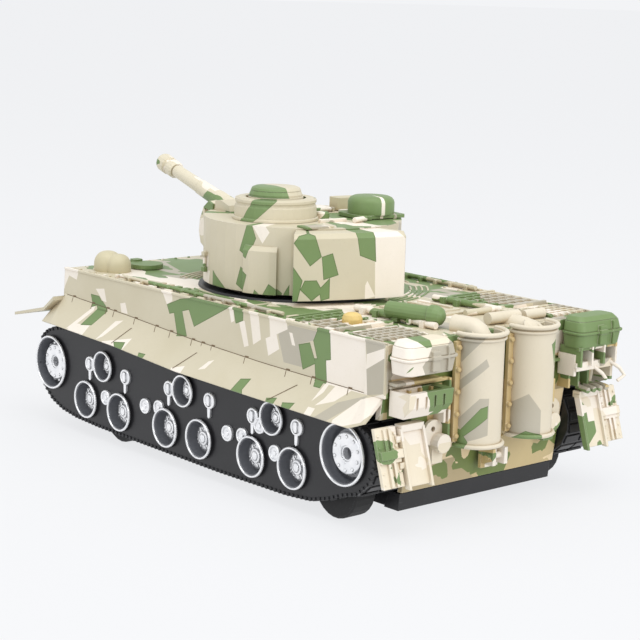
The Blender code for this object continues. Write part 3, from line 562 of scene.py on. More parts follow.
def cupola_wall(g, x, y, z):
    return g.join(degrees_about(g, x, y, CUPOLA_AT), z, 1.0), 1.0


def loader_wall(g, x, y, z):
    return g.join(degrees_about(g, x, y, LOADER_AT), z, 1.0), 1.0


def roof_top(g, x, y, z):
    return g.join(x, y, 1.0), g.above(z, TURRET_Z1 - 0.25)


CUPOLA_LAYERS = (
    ("green", cupola_wall, (
        ((25, 118.4), (61, 118.4), (26, 108), (4, 108)), ((-80, 124), (82, 124), (88, 118.6), (-80, 118.6)),
        ((150, 118), (172, 118), (186, 108), (160, 108)), ((-110, 118), (-90, 118), (-80, 108), (-96, 108)),
    )),
)
LOADER_LAYERS = (
    ("cream", loader_wall, (((82, 119), (92, 119), (92, 108), (82, 108)),)),
)
ROOF_LAYERS = (
    ("green", roof_top, (
        ((-45, 0), (-12, -6), (-8, 12), (-14, 26), (-40, 30)), ((-14, 34), (2, 30), (8, 40), (-6, 46)),
        ((-30, 28), (-14, 26), (-10, 40), (-24, 42)),
    )),
    ("cream", roof_top, (
        ((-12, 30), (-2, 24), (-2, 38), (-14, 46)), ((0, -20), (10, -24), (8, -10), (-2, -8)),
    )),
)
SIDE_LAYERS = (
    ("taupe", hull_side, (
        ((133, 70), (140, 75), (158, 75), (158, 72), (146, 68)), ((133, 70), (146, 68), (149, 59), (137, 59)),
        ((186, 77), (198, 78), (197, 75), (187, 71)), ((187, 66), (197, 71), (197, 57), (188, 55)),
        ((181, 55), (189, 55), (187, 53), (174, 43), (160, 41), (161, 45), (175, 50)),
    )),
    ("cream", hull_side, (
        ((0, 70), (7, 71), (9, 65), (6, 65)), ((20, 66), (24, 67), (26, 62), (21, 62)),
        ((52, 77), (60, 77), (60, 73), (56, 71)), ((100, 77), (103, 77), (104, 71), (102, 70)),
        ((107, 72), (111, 72), (114, 62), (111, 61)), ((114, 77), (120, 77), (122, 66), (117, 63)),
        ((127, 77), (138, 77), (139, 73), (128, 68)), ((125, 67), (132, 70), (134, 64), (127, 60)),
        ((140, 72), (142, 72), (144, 67), (142, 67)), ((165, 77), (186, 77), (188, 55), (164, 55), (163, 62)),
        ((187, 71), (197, 75), (197, 71), (187, 65)),
        ((-3, 65), (0, 64), (1, 60), (-2, 60)), ((-2, 60), (1, 60), (-7, 52), (-12, 50)),
        ((-9, 53), (4, 54), (2, 49), (-11, 49)),
        ((20, 58), (25, 59), (17, 51), (13, 49)), ((18, 49), (37, 53), (34, 47), (22, 47)),
        ((71, 46), (79, 48), (78, 44), (72, 44)), ((88, 48), (92, 52), (95, 53), (92, 49)),
        ((164, 56), (166, 56), (165, 52), (161, 48)), ((170, 56), (179, 55), (173, 50), (167, 50)),
        ((167, 50), (173, 50), (164, 47)),
        ((186, 53), (197, 57), (200, 54), (193, 46), (178, 41), (177, 44)),
        ((161, 46), (165, 46), (164, 40), (160, 40)),
        ((-40, 62), (-27, 66), (-20, 77), (-28, 77), (-40, 70)), ((-27, 77), (-14, 77), (-16, 72), (-27, 74)),
    )),
    ("green", hull_side, (
        ((-4, 67), (3, 67), (6, 64), (-2, 61)), ((-2, 65), (6, 65), (11, 61), (3, 61)),
        ((3, 61), (11, 61), (5, 54), (-3, 53)),
        ((56, 71), (66, 75), (77, 77), (76, 72), (58, 67)), ((61, 69), (67, 71), (71, 59), (64, 58)),
        ((71, 73), (74, 77), (102, 77), (76, 64)), ((103, 77), (110, 77), (110, 72), (105, 70)),
        ((146, 68), (153, 70), (157, 62), (149, 58)), ((158, 77), (165, 77), (166, 65), (158, 63), (155, 71)),
        ((156, 64), (163, 65), (164, 55), (157, 55)), ((157, 56), (163, 57), (162, 53), (158, 53)),
        ((116, 49), (122, 50), (120, 45), (113, 43)), ((120, 45.5), (122, 43), (113, 42), (114, 44.5)),
        ((146, 45), (153, 46), (151, 42), (147, 42)), ((26, 50), (34, 51), (34, 47), (31, 46)),
        ((46, 48.5), (51, 48.5), (50, 46), (47, 46)), ((136, 45), (142, 46), (141, 42), (137, 42)),
    )),
)
TURRET_LAYERS = (
    ("cream", turret_wall, (
        ((28, 109), (36, 109), (39, 106), (35, 101)), ((-14, 92), (-11, 92), (-11, 85), (-14, 85)),
        ((-24, 84), (-8, 85), (-9, 79), (-23, 79)), ((91, 109), (102, 109), (109, 101), (107, 79), (92, 79)),
        ((87, 85), (88, 87), (92, 80), (87, 79)), ((114, 100), (115, 89), (109, 95)),
        ((150, 109), (163, 109), (158, 96), (149, 99)), ((186, 92), (197, 97), (193, 84), (184, 84)),
        ((216, 109), (228, 109), (231, 98), (220, 95)),
    )),
    ("taupe", turret_wall, (
        ((122, 96), (134, 109), (141, 103), (128, 90)), ((168, 88), (176, 92), (180, 79), (169, 79)),
    )),
    ("green", turret_wall, (
        ((25, 109), (28, 109), (31, 103), (26, 94), (20, 97)), ((21, 90), (27, 87), (24, 79), (18, 82)),
        ((-4, 86), (10, 79), (-4, 79)), ((32, 81), (35, 79), (31, 78)),
        ((40, 84), (47, 80), (46, 78), (36, 78)),
        ((48, 80), (51, 84), (51, 78), (47, 78)),
        ((54, 104), (56, 107), (60, 108), (63, 107), (66, 98), (61, 94)),
        ((66, 98), (71, 99.5), (74, 90), (67, 88)),
        ((61, 93), (64, 88), (70, 88), (67, 83), (62, 79), (57, 84)),
        ((65, 84), (70, 89), (70, 80), (66, 79)),
        ((54, 94), (58, 88), (56, 79), (53, 79)), ((82, 109), (91, 109), (92, 95), (84, 98)),
        ((120, 84), (131, 91), (138, 79), (121, 79)), ((144, 97), (152, 93), (148, 84), (141, 88)),
        ((171, 109), (181, 109), (176, 95), (166, 99)), ((199, 92), (208, 88), (212, 79), (200, 79)),
        ((203, 105), (213, 101), (209, 93), (199, 98)), ((234, 90), (244, 95), (246, 84), (236, 80)),
        ((-44, 109), (-36, 109), (-31, 97), (-41, 95)), ((-58, 92), (-48, 95), (-44, 83), (-55, 82)),
    )),
)
SHROUD_LAYERS = (
    ("taupe", shroud_wall, (
        ((-27, 71), (14, 77), (61, 77), (3, 66)), ((62, 68), (69, 65), (-9, 53), (-10, 57)),
        ((50, 52), (72, 52), (72, 37), (21, 34), (-5, 42)),
        ((344, 50), (375, 43), (376, 32), (283, 33), (270, 37), (303, 46)),
    )),
    ("green", shroud_wall, (
        ((53, 48), (70, 49), (70, 44), (16, 36), (4, 38)),
        ((-60, 36), (4, 39), (27, 34), (18, 30), (-60, 30)),
        ((306, 31), (340, 34.5), (376, 33), (376, 30), (310, 29)), ((400, 70), (430, 72), (420, 60)),
    )),
)
CAMO_HULL = camo("camo_hull", layers=SIDE_LAYERS, green=0.30, cream=0.22, shell=True)
CAMO_DECK = camo("camo_deck", green=0.32, cream=0.30, seed=8.0)
CAMO_REAR = camo("camo_rear", green=0.09, cream=0.44, seed=21.0, base=colour(226, 216, 196))
CAMO_LOW = camo("camo_low", green=0.24, cream=0.16, seed=13.0, base=colour(206, 184, 132))
CAMO_SHROUD = camo("camo_shroud", general=False, layers=SHROUD_LAYERS, base=colour(214, 205, 186))
CAMO_TURRET = camo("camo_turret", "turret", general=False, layers=TURRET_LAYERS + ROOF_LAYERS)
CAMO_ROOF = camo("camo_roof", "turret", green=0.50, cream=0.14, seed=11.0)
CAMO_CUPOLA = camo("camo_cupola", "turret", general=False, layers=CUPOLA_LAYERS)
CAMO_LOADER = camo("camo_loader", "turret", general=False, layers=LOADER_LAYERS, base=GREEN)
CAMO_GUN = camo("camo_gun", "gun", green=0.20, cream=0.16, seed=2.0, base=colour(214, 206, 184))
PLAIN_BEIGE = camo("camo_plain", general=False, base=colour(196, 188, 158))
GREEN_PLASTIC = camo("camo_green", general=False, base=GREEN)
YELLOW_PLASTIC = camo("camo_yellow", general=False, base=colour(220, 192, 122))
GOLD_PLASTIC = camo("camo_gold", general=False, base=colour(196, 174, 128))
BLACK = black_plastic("black_plastic_shell", (21, 21, 24))
# Painted shade: the plated dishes deep in the wheels are drawn as dark grey plastic.
PLATED_DISH_SHADE = black_plastic("black_plastic_dish", (84, 86, 91), rough=(0.26, 0.38), scuff=0.05)
RUBBER = black_plastic("black_rubber_tread", (22, 22, 23), rough=(0.62, 0.8), scuff=0.3)
SHADOW = black_plastic("engraved_line", (112, 92, 64), rough=(0.7, 0.8), scuff=0.0)
CHROME = metal("plated_plastic", (0.97, 0.97, 0.98, 1), (0.86, 0.87, 0.89, 1), 0.12, metallic=0.64)
STEEL = metal("steel", (0.60, 0.60, 0.61, 1), (0.42, 0.42, 0.43, 1), 0.28)

# ---------------------------------------------------------------- the CAD pieces' finishes

FINISHES = {
    CAMO_HULL: ("upper_hull_shell",),
    GREEN_PLASTIC: ("deck_tube", "crew_hatch_left"),
    CAMO_DECK: ("crew_hatch_right",),
    PLAIN_BEIGE: ("roof_vent", "headlamp_dome_left", "headlamp_dome_right"),
    CAMO_REAR: (
        "rear_shelf_right", "tow_shackle_left", "tow_shackle_right", "slotted_box_left",
        "rear_mudguard_left", "rear_mudguard_right",
    ),
    CAMO_LOW: ("tow_bracket",),
    YELLOW_PLASTIC: ("filler_cap",),
    CAMO_TURRET: ("turret_shell", "stowage_bin"),
    CAMO_ROOF: ("roof_flap",),
    CAMO_CUPOLA: ("cupola", "cupola_lid"),
    CAMO_LOADER: ("loader_cover",),
    CAMO_GUN: ("mantlet", "gun_barrel", "muzzle_brake"),
    CAMO_SHROUD: ("exhaust_pipe_left", "exhaust_pipe_right"),
    BLACK: (
        "chassis_tray", "battery_door", "power_switch", "turret_base", "speaker", "track_panel_left",
        "track_panel_right", "compound_gear_left", "compound_gear_right", "motor_pinion_left",
        "motor_pinion_right", "battery_pack", "circuit_board",
    ),
    RUBBER: ("drive_wheel_left", "drive_wheel_right", "front_wheel_left", "front_wheel_right"),
    STEEL: ("battery_door_screw", "switch_body", "front_axle", "drive_motor_left", "drive_motor_right"),
    CHROME: (
        "wheel_insert_left", "wheel_insert_right", "sprocket_disc_left", "sprocket_disc_right",
        "idler_disc_left", "idler_disc_right",
    ),
}
for finish, names in FINISHES.items():
    for name in names:
        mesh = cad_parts[name].data
        mesh.materials.clear()
        mesh.materials.append(finish)

# ---------------------------------------------------------------- running gear


def panel_plate():
    """The outer layer of the black panel, with a round well for every wheel."""
    curve = bpy.data.curves.new("panel_plate", "CURVE")
    curve.dimensions = "2D"
    curve.fill_mode = "BOTH"
    outlines = [list(PANEL)]
    wells = [(p, 12.0) for p in BIG_WHEELS] + [(p, 8.3) for p in ROAD_WHEELS] + [(p, 6.7) for p in ROLLERS]
    outlines += [circle(p, r, 56) for p, r in wells]
    for outline in outlines:
        spline = curve.splines.new("POLY")
        spline.points.add(len(outline) - 1)
        for point, (y, z) in zip(spline.points, outline):
            point.co = (y, z, 0, 1)
        spline.use_cyclic_u = True
    curve.extrude = 3.0
    holder = bpy.data.objects.new("panel_plate_curve", curve)
    bpy.context.scene.collection.objects.link(holder)
    bpy.context.view_layer.update()
    shape = Shape()
    shape.bm.from_mesh(holder.to_mesh())
    bmesh.ops.remove_doubles(shape.bm, verts=shape.bm.verts, dist=0.001)
    for vert in shape.bm.verts:
        y, z, x = vert.co
        vert.co = (PANEL_X - 3.0 + x, y, z)
    bpy.data.objects.remove(holder)
    return shape


def outline_walk(points, step):
    """Evenly spaced (point, direction) pairs round a closed outline."""
    made = []
    carry = 0.0
    for p, q in zip(points, points[1:] + points[:1]):
        a, b = Vector(p), Vector(q)
        size = (b - a).length
        along = (b - a) / size
        while carry < size:
            made.append((a + along * carry, along))
            carry += step
        carry -= size
    return made


plate = panel_plate()
both_sides(plate, "track_plate", BLACK, bevel=0)
back = Shape()
back.prism(PANEL, "x", 45.4, 61.5)
both_sides(back, "track_back", BLACK, bevel=0.4)
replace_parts(bpy.data.objects["track_plate_left"], "track_panel_left", "wheel_insert_left")
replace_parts(bpy.data.objects["track_plate_right"], "track_panel_right", "wheel_insert_right")

# The links' pads, which show where the track goes round the panel's ends.
links = Shape()
for here, along in outline_walk(list(PANEL), 5.6):
    outward = Vector((along.y, -along.x))
    ring = [here + along * t + outward * n for t, n in ((-2.2, -0.4), (2.2, -0.4), (1.9, 0.6), (-1.9, 0.6))]
    for x0, x1 in ((46.5, 55.0), (56.2, 64.6)):
        links.loft([[(x, p.x, p.y) for p in ring] for x in (x0, x1)])
both_sides(links, "track_links", BLACK, bevel=0.2)

edge_teeth = Shape()
for here, along in outline_walk(list(PANEL), 2.8):
    outward = Vector((along.y, -along.x))
    ring = [here + along * t + outward * n for t, n in ((-0.7, -1.3), (0.7, -1.3), (0.5, 0.1), (-0.5, 0.1))]
    edge_teeth.loft([[(x, p.x, p.y) for p in ring] for x in (64.4, PANEL_X + 0.5)])
both_sides(edge_teeth, "track_edge", BLACK, bevel=0.15)

rims = Shape()
collars = Shape()
dishes = Shape()
hubs = Shape()
ROUND_WHEELS = (
    [(p, 12.9, 10) for p in BIG_WHEELS] + [(p, 8.9, 8) for p in ROAD_WHEELS] + [(p, 7.25, 6) for p in ROLLERS]
)
RIM_SEGMENTS = 64


def wheel(y, z, radius, bolts):
    """A bright rim, the black collar under it, a dish dark with painted shade and a bolted hub."""
    big = radius > 10
    centre = (0, y, z)
    inner = radius - (1.05 if big else 1.0)
    rims.turned(
        ((radius, 68.2), (radius, 68.7), (radius - 0.25, 69.1), (inner + 0.2, 69.1), (inner, 68.8),
         (inner, 68.2)),
        centre, "x", RIM_SEGMENTS,
    )
    collars.turned(
        ((radius + 0.05, 66.4), (radius - 0.05, 68.3), (radius - 0.7, 68.3), (radius - 0.7, 66.4)),
        centre, "x", RIM_SEGMENTS,
    )
    floor = 62.6 if big else 63.4
    dishes.turned(
        ((radius - 0.1, 66.3), (inner - 0.02, 68.5), (inner - 0.4, 68.4), (inner - 1.0, floor + 0.6),
         (inner - 1.6, floor), (0, floor), (0, floor - 1.2), (radius - 0.6, floor - 1.2)),
        centre, "x", RIM_SEGMENTS,
    )
    hub = radius * (0.66 if big else 0.62)
    face = 66.2 if big else 66.0
    if big:
        hubs.turned(
            ((hub + 1.3, floor - 0.2), (hub + 1.3, floor + 0.9), (hub, floor + 1.6), (hub, face - 0.4),
             (hub - 0.5, face), (radius * 0.25, face), (radius * 0.25, face - 0.5),
             (radius * 0.19, face - 0.5), (radius * 0.19, floor - 0.2)),
            centre, "x", 56,
        )
        for point in circle((y, z), hub - 1.6, bolts, 0.3):
            hubs.stud((face, *point), (1, 0, 0), 0.72, 0.55, 10)
        if y > 0:
            for point in circle((y, z), radius * 0.30, 3, 0.4):
                hubs.stud((face - 0.4, *point), (1, 0, 0), 0.5, 0.6, 10)
        return
    hubs.turned(
        ((hub + 0.7, floor - 0.2), (hub + 0.7, floor + 0.5), (hub, floor + 0.8), (hub, face - 1.5),
         (hub - 0.5, face - 1.0), (radius * 0.36, face - 1.0), (radius * 0.34, face + 0.1),
         (radius * 0.26, face + 0.3), (radius * 0.22, face), (radius * 0.2, face + 0.5),
         (radius * 0.1, face + 0.9), (0, face + 1.0), (0, floor - 0.2)),
        centre, "x", 48,
    )
    level = face - 1.0
    for point in circle((y, z), hub - 1.15, bolts, 0.3):
        hubs.stud((level, *point), (1, 0, 0), 0.5, 0.5, 10)
    for i in range(4):
        a = 0.6 + i * math.pi / 2
        out = Vector((math.cos(a), math.sin(a)))
        side = Vector((-out.y, out.x))
        near, far = out * radius * 0.3, out * (hub - 0.3)
        rib = [near + side * 0.45, far + side * 0.3, far - side * 0.3, near - side * 0.45]
        hubs.loft([[(h, y + p.x, z + p.y) for p in rib] for h in (level - 0.4, level + 0.45)])


for (y, z), radius, bolts in ROUND_WHEELS:
    wheel(y, z, radius, bolts)

# The front wheel's teeth.
y, z = BIG_WHEELS[0]
TEETH = 14
for i in range(TEETH):
    a = 2 * math.pi * i / TEETH
    out = Vector((math.cos(a), math.sin(a)))
    side = Vector((-out.y, out.x))
    tooth = [out * 8.2 + side * 0.9, out * 9.5 + side * 0.7, out * 9.5 - side * 0.7, out * 8.2 - side * 0.9]
    hubs.loft([[(h, y + p.x, z + p.y) for p in tooth] for h in (62.4, 65.2)])

# The small fittings between the wheels: a round head with a slot and an arm, and plain round caps.
trim = Shape()
for y, z in PADDLES:
    trim.turned(
        ((0, 66.0), (3.6, 66.0), (3.6, 68.0), (3.3, 68.4), (2.7, 68.4), (2.5, 68.0), (0, 68.0)),
        (0, y, z), "x", 32,
    )
    trim.box(67.4, 68.7, y - 0.75, y + 0.75, z - 2.1, z + 2.1)
    arm = ((-1.0, -3.0), (1.0, -3.0), (0.75, -7.2), (0, -7.8), (-0.75, -7.2))
    trim.loft([[(x, y + dy, z + dz) for dy, dz in arm] for x in (66.0, 68.1)])
for y, z in CAPS:
    trim.turned(
        ((0, 66.0), (3.5, 66.0), (3.5, 68.2), (3.3, 68.5), (2.75, 68.5), (2.5, 67.9), (1.1, 67.9),
         (0.9, 68.4),
         (0, 68.5)),
        (0, y, z), "x", 32,
    )
# A cap or arm that reaches under a wheel stops at the wheel's rim.
for vert in trim.bm.verts:
    for (y, z), radius, bolts in ROUND_WHEELS:
        away = Vector((vert.co.y - y, vert.co.z - z))
        if 0 < away.length < radius + 0.1:
            away *= (radius + 0.1) / away.length
            vert.co.y, vert.co.z = y + away.x, z + away.y
both_sides(collars, "wheel_collars", BLACK, bevel=0)
both_sides(rims, "wheel_rims", CHROME, bevel=0)
both_sides(dishes, "wheel_dishes", PLATED_DISH_SHADE, bevel=0)
both_sides(hubs, "wheel_hubs", CHROME, bevel=0.12)
both_sides(trim, "plated_trim", CHROME, bevel=0.1)
for side in ("left", "right"):
    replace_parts(bpy.data.objects["wheel_rims_" + side], "sprocket_disc_" + side, "idler_disc_" + side)

# ---------------------------------------------------------------- hull sides

NOTCHES = (-17.5, -1.5, 10.5, 16.5, 33.0, 49.0, 60.0, 76.0, 83.0, 90.0, 113.0, 140.0, 156.0, 178.0)
FACE_X = 63.16  # just proud of the side plate
seams = Shape()
for y in NOTCHES:
    z = notch_z(y)
    corners = ((y - 1.1, z - 0.1), (y + 1.1, z - 0.1), (y + 1.1, z + 0.65), (y - 1.1, z + 0.65))
    seams.slab([(FACE_X, *corner) for corner in corners], 0.4, (1, 0, 0))
    slope = (SKIRT_X - DECK_X) / (z - skirt_z(y))
    tick = ((0, -1.35, 0.2), (0, -0.95, 0.2), (2.2, 0.05, 2.4), (2.2, -0.35, 2.4))
    seams.slab([(63.2 + out * slope, y + dy, z - drop) for out, dy, drop in tick], 0.35, (1, 0, 0.6))
for a in range(-24, 190, 8):
    b = a + 8
    za, zb = notch_z(a), notch_z(b)
    seams.slab([(63.12, a, za - 0.1), (63.12, b, zb - 0.1), (63.12, b, zb + 0.16), (63.12, a, za + 0.16)],
               0.3, (1, 0, 0))
# Joints between the skirt's panels.
for low, high in ((25.0, 33.0), (72.0, 82.0), (137.0, 149.0)):
    corners = []
    for y, share in ((low, 0.93), (high, 0.30), (high + 0.35, 0.30), (low + 0.35, 0.93)):
        z = notch_z(y) + (skirt_z(y) - notch_z(y)) * share
        corners.append((63.25 + 8.95 * share, y, z))
    seams.slab(corners, 0.3, (0.85, 0, 0.5))
both_sides(seams, "side_seams", SHADOW, bevel=0)

rails = Shape()
rails.box(61.4, 63.5, -26.0, 196.6, DECK_Z - 0.6, DECK_Z + 0.5)
for y in range(-20, 195, 12):
    rails.box(60.0, 61.9, y, y + 4.5, DECK_Z - 0.3, DECK_Z + 0.9)
rails.box(61.2, 63.3, 186.0, 197.6, 55.0, DECK_Z - 0.2)
both_sides(rails, "deck_edge", CAMO_HULL, bevel=0.25)

# ---------------------------------------------------------------- deck

# Two rounded lumps grown together stand on each front corner.
domes = Shape()
for x, y, r, tall in ((49.6, -9.6, 6.6, 9.4), (47.6, -4.0, 6.0, 8.4)):
    arch = [math.radians(90 * i / 10) for i in range(11)]
    profile = [(0, DECK_Z - 0.3), (r, DECK_Z - 0.3)]
    profile += [(r * math.cos(a) ** 0.8, DECK_Z + tall * 0.35 + tall * 0.65 * math.sin(a)) for a in arch[:-1]]
    domes.turned(profile + [(0, DECK_Z + tall)], (x, y, 0), "z", 48)
for made in both_sides(domes, "dome_lumps", PLAIN_BEIGE, bevel=0):
    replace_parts(made, "headlamp_dome_" + made.name.split("_")[-1])


deck = Shape()
top = DECK_Z - 0.2
# Part rings round the turret. The larger ones would run off the deck's sides.
for radius in (50.2, 52.8, 55.4, 58.0):
    for first, last in ((35, 145), (-55, -125), (158, 202), (-22, 22)):
        if radius > 53 and first in (158, -22):
            continue
        sides = [arc((0, TURRET_Y), radius + dr, first, last, 26) for dr in (-0.55, 0.55, 0.4, -0.4)]
        sections = [
            [(x, y, top + dz) for (x, y), dz in zip(points, (0, 0, 0.7, 0.7))] for points in zip(*sides)
        ]
        if all(abs(p[0]) < 61 for section in sections for p in section):
            deck.loft(sections)
# Grilles, rods and clips over the engine bay.
for sign in (1, -1):
    for row in range(6):
        y0 = 138.0 + row * 5.2
        deck.box(sign * 33.0, sign * 59.5, y0, y0 + 1.3, top, top + 1.5)
    for x in range(34, 60, 5):
        deck.box(sign * x, sign * (x + 1.0), 137.0, 166.0, top, top + 1.1)
    for y0, y1 in ((135.4, 137.2), (166.6, 168.2)):
        deck.box(sign * 31.6, sign * 61.0, y0, y1, top, top + 1.9)
    for row in range(5):
        y0 = 174.5 + row * 3.9
        deck.box(sign * 36.0, sign * 60.0, y0, y0 + 1.2, top, top + 1.5)
    for x in range(36, 61, 4):
        deck.box(sign * x, sign * (x + 0.9), 173.0, 193.0, top, top + 1.2)
    rod = ((23.0, 136.0, 1.8), (24.4, 158.0, 2.0), (25.0, 186.0, 1.8))
    deck.tube([(sign * x, y, top + dz) for x, y, dz in rod], 1.5)
    deck.tube([(sign * 8.0, 170.0, top + 1.5), (sign * 27.0, 172.0, top + 1.7)], 1.5)
    for y in (142.0, 150.0, 178.0):
        deck.box(sign * 20.6, sign * 27.0, y, y + 2.6, top, top + 3.2)
# The ribbed cover between the grilles.
deck.box(-15.0, 15.0, 136.0, 166.0, top, top + 1.2)
deck.box(-12.6, 12.6, 139.0, 163.0, top, top + 2.0)
for x in (-9.0, -3.0, 3.0, 9.0):
    deck.box(x - 1.1, x + 1.1, 141.0, 161.0, top, top + 2.9)
# The long rods along the deck's edges, their clips, and the blocks beside the turret.
deck.tube([(-58.5, 8.0, top + 1.6), (-59.0, 60.0, top + 1.6), (-58.0, 128.0, top + 1.6)], 1.1)
deck.tube([(58.6, 14.0, top + 1.5), (58.9, 70.0, top + 1.5), (58.0, 130.0, top + 1.5)], 0.9)
for y in range(12, 132, 10):
    deck.box(-61.0, -56.0, y, y + 1.6, top, top + 2.3)
    deck.box(56.4, 60.6, y, y + 1.4, top, top + 2.0)
for y in range(36, 66, 6):
    for sign in (1, -1):
        deck.box(sign * 50.5, sign * 55.5, y, y + 3.0, top, top + 1.1)
piece(deck, "deck_mouldings", CAMO_DECK, bevel=0.22)

studs = Shape()
for y in range(-22, 132, 9):
    for x in (-53.0, 53.0):
        studs.stud((x, y, DECK_Z), (0, 0, 1), 0.7, 0.6, 8)
for x in range(-48, 49, 8):
    studs.stud((x, -23.0, DECK_Z), (0, 0, 1), 0.7, 0.6, 8)
for x in range(-30, 31, 6):
    studs.stud((x, 195.4, DECK_Z), (0, 0, 1), 0.7, 0.6, 8)
piece(studs, "deck_studs", CAMO_DECK, bevel=0)

# A black ring under the turret's edge: partly the toy's black base, partly painted shadow in the gap between
# turret and deck.
black_and_shadow_ring = Shape()
black_and_shadow_ring.turned(
    ((47.0, DECK_Z - 0.2), (46.6, 77.3), (40.0, 77.3), (40.0, DECK_Z - 0.2)), (0, TURRET_Y, 0), "z", 96
)
piece(black_and_shadow_ring, "turret_race", BLACK, bevel=0)

# ---------------------------------------------------------------- rear plate


RIVETS_Z = 29.4
RIVETS_Y = 190.0 + 8.0 * (RIVETS_Z - 13.0) / 59.0 + 0.05
rear = Shape()
out = Vector((0, 1, -0.135)).normalized()
for x in range(-26, 27, 4):
    rear.stud((x, RIVETS_Y, RIVETS_Z), out, 0.55, 0.6, 8)
for sign in (1, -1):
    # Brackets that hold the boxes, and ribs beside them.
    for x in (40.0, 46.0, 52.0):
        rear.box(sign * x, sign * (x + 1.2), 192.0, 201.0, 47.0, 58.0)
    rear.box(sign * 29.0, sign * 30.2, 193.0, 200.0, 31.0, 60.0)
    rear.box(sign * 31.6, sign * 32.8, 193.0, 200.0, 42.0, 52.0)
    rear.box(sign * 30.0, sign * 61.0, 193.0, 198.8, 58.8, 60.0)
rear.prism(((196.0, 60.2), (201.5, 60.2), (201.5, 61.4), (196.0, 61.4)), "x", 36.0, 61.0)
piece(rear, "rear_mouldings", CAMO_LOW, bevel=0.2)

exhaust = Shape()
for sign in (1, -1):
    cx, cy = sign * SHROUD_X, SHROUD_Y
    for z, r, thick in ((77.4, 10.9, 1.0), (75.2, 10.5, 0.7), (32.2, 10.9, 0.9)):
        exhaust.tube([(x, y, z) for x, y in arc((cx, cy), r, -8, 188, 32)], thick, 10)
    # The curved end of the exhaust pipe, seen inside the shroud's mouth. The right one lies lower.
    drop = 0.0 if sign > 0 else 2.6
    exhaust.tube([
        (cx, cy + 1.6, 66.0), (cx, cy + 1.6, 72.5 - drop), (cx, cy + 0.9, 75.0 - drop),
        (cx, cy - 0.8, 76.8 - drop), (cx, cy - 3.4, 77.8 - drop), (cx + 0.8, cy - 6.6, 78.2 - drop),
        (cx + 2.2, cy - 12.0, 78.2 - drop),
    ], 4.3, 24)
exhaust.tube([(-1.0, 189.5, 78.9), (-18.0, 190.5, 78.9)], 2.5, 20)
exhaust.tube([(-22.0, 189.8, 78.4), (-34.0, 190.0, 78.4)], 2.2, 20)
piece(exhaust, "exhaust_rims", CAMO_SHROUD, bevel=0)
for sign, side in ((1, "left"), (-1, "right")):
    cx, cy = sign * SHROUD_X, SHROUD_Y
    plan = arc((cx, cy), 10.2, -6, 186, 56) + arc((cx, cy), 9.2, -6, 186, 56)[::-1]
    shroud = Shape().prism(plan, "z", 31.4, 77.2)
    shell = piece(shroud, "shroud_shell_" + side, CAMO_SHROUD, bevel=0)
    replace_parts(shell, "exhaust_shroud_" + side)
    strips = Shape()
    for near, far in ((9.05, 12.8), (-12.8, -9.05)):
        strips.box(cx + near, cx + far, 198.9, 200.8, 33.6, 74.4)
        middle = cx + (near + far) / 2
        for z in range(36, 76, 9):
            strips.stud((middle + (0.6 if near > 0 else -0.6), 200.7, z), (0, 1, 0), 1.15, 1.4, 14)
    piece(strips, "shroud_flanges_" + side, GOLD_PLASTIC, bevel=0.25)


def cleaner(sign, name, material):
    """A lidded box with a strap and a clip on its rear face."""
    made = Shape()
    x0, x1 = sorted((sign * 36.3, sign * 62.7))
    for z0, z1, grow_low, grow_high in (
        (65.4, 71.0, -0.4, 0.2), (71.0, 72.2, 0.9, 0.9), (72.2, 76.4, 0.3, -0.6), (76.4, 78.4, -0.6, -2.4),
    ):
        low = rounded(x0 - grow_low, x1 + grow_low, 198.4, 209.8 + grow_low, 3.4)
        high = rounded(x0 - grow_high, x1 + grow_high, 198.4, 209.8 + grow_high, 3.0)
        made.loft([[(x, y, z0) for x, y in low], [(x, y, z1) for x, y in high]])
    cx = sign * 49.0
    made.box(cx - 2.0, cx + 2.0, 209.0, 211.4, 66.6, 74.6)
    made.box(cx - 2.4, cx + 2.4, 209.4, 212.0, 71.0, 72.8)
    made.box(cx - 7.6, cx - 6.6, 208.6, 210.9, 66.0, 76.0)
    return piece(made, name, material, bevel=0.45)


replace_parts(cleaner(1, "air_cleaner_box_left", CAMO_REAR), "air_cleaner_left")
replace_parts(cleaner(-1, "air_cleaner_box_right", GREEN_PLASTIC), "air_cleaner_right")


def leaf(z, near, far):
    """How far back a mudguard's face is at a height."""
    return near + (far - near) * (44.6 - z) / 23.8


guards = Shape()
for x, radius in ((60.9, 0.7), (69.4, 0.6)):
    for z in (42.0, 37.5, 33.0, 28.0, 24.0):
        guards.stud((x, leaf(z, 200.4, 207.2), z), (0, 1, 0.28), radius, 0.55, 8)
guards.loft([
    [(x, leaf(z, 200.2, 207.0) + o, z) for x, o in ((59.8, 0), (70.4, 0), (70.4, 1.3), (59.8, 1.3))]
    for z in (31.6, 33.6)
])
for z in (39.8, 30.0):
    guards.box(57.8, 61.0, leaf(z, 200.0, 206.6), leaf(z, 200.0, 206.6) + 1.6, z - 1.2, z + 1.2)
both_sides(guards, "mudguard_fittings", CAMO_REAR, bevel=0.2)

shelf = Shape()
for x in (-60.5, -53.0, -45.5, -38.5):
    shelf.box(x, x + 1.1, 197.6, 209.4, 57.6, 66.0)
shelf.box(-61.5, -37.0, 206.8, 208.6, 64.4, 66.0)
shelf.tube([(-58.5, 207.0, 58.0), (-61.5, 210.5, 55.0), (-63.0, 212.0, 52.0), (-60.0, 210.8, 49.6)], 0.8)
shelf.tube([(-48.5, 207.0, 56.6), (-51.5, 209.6, 53.6), (-53.0, 210.6, 51.0)], 0.8)
for x in range(-60, -44, 4):
    shelf.tube([(x, 199.0, 46.6), (x, 205.5, 45.8)], 1.3)
piece(shelf, "shelf_slats", CAMO_LOW, bevel=0.2)

# ---------------------------------------------------------------- turret

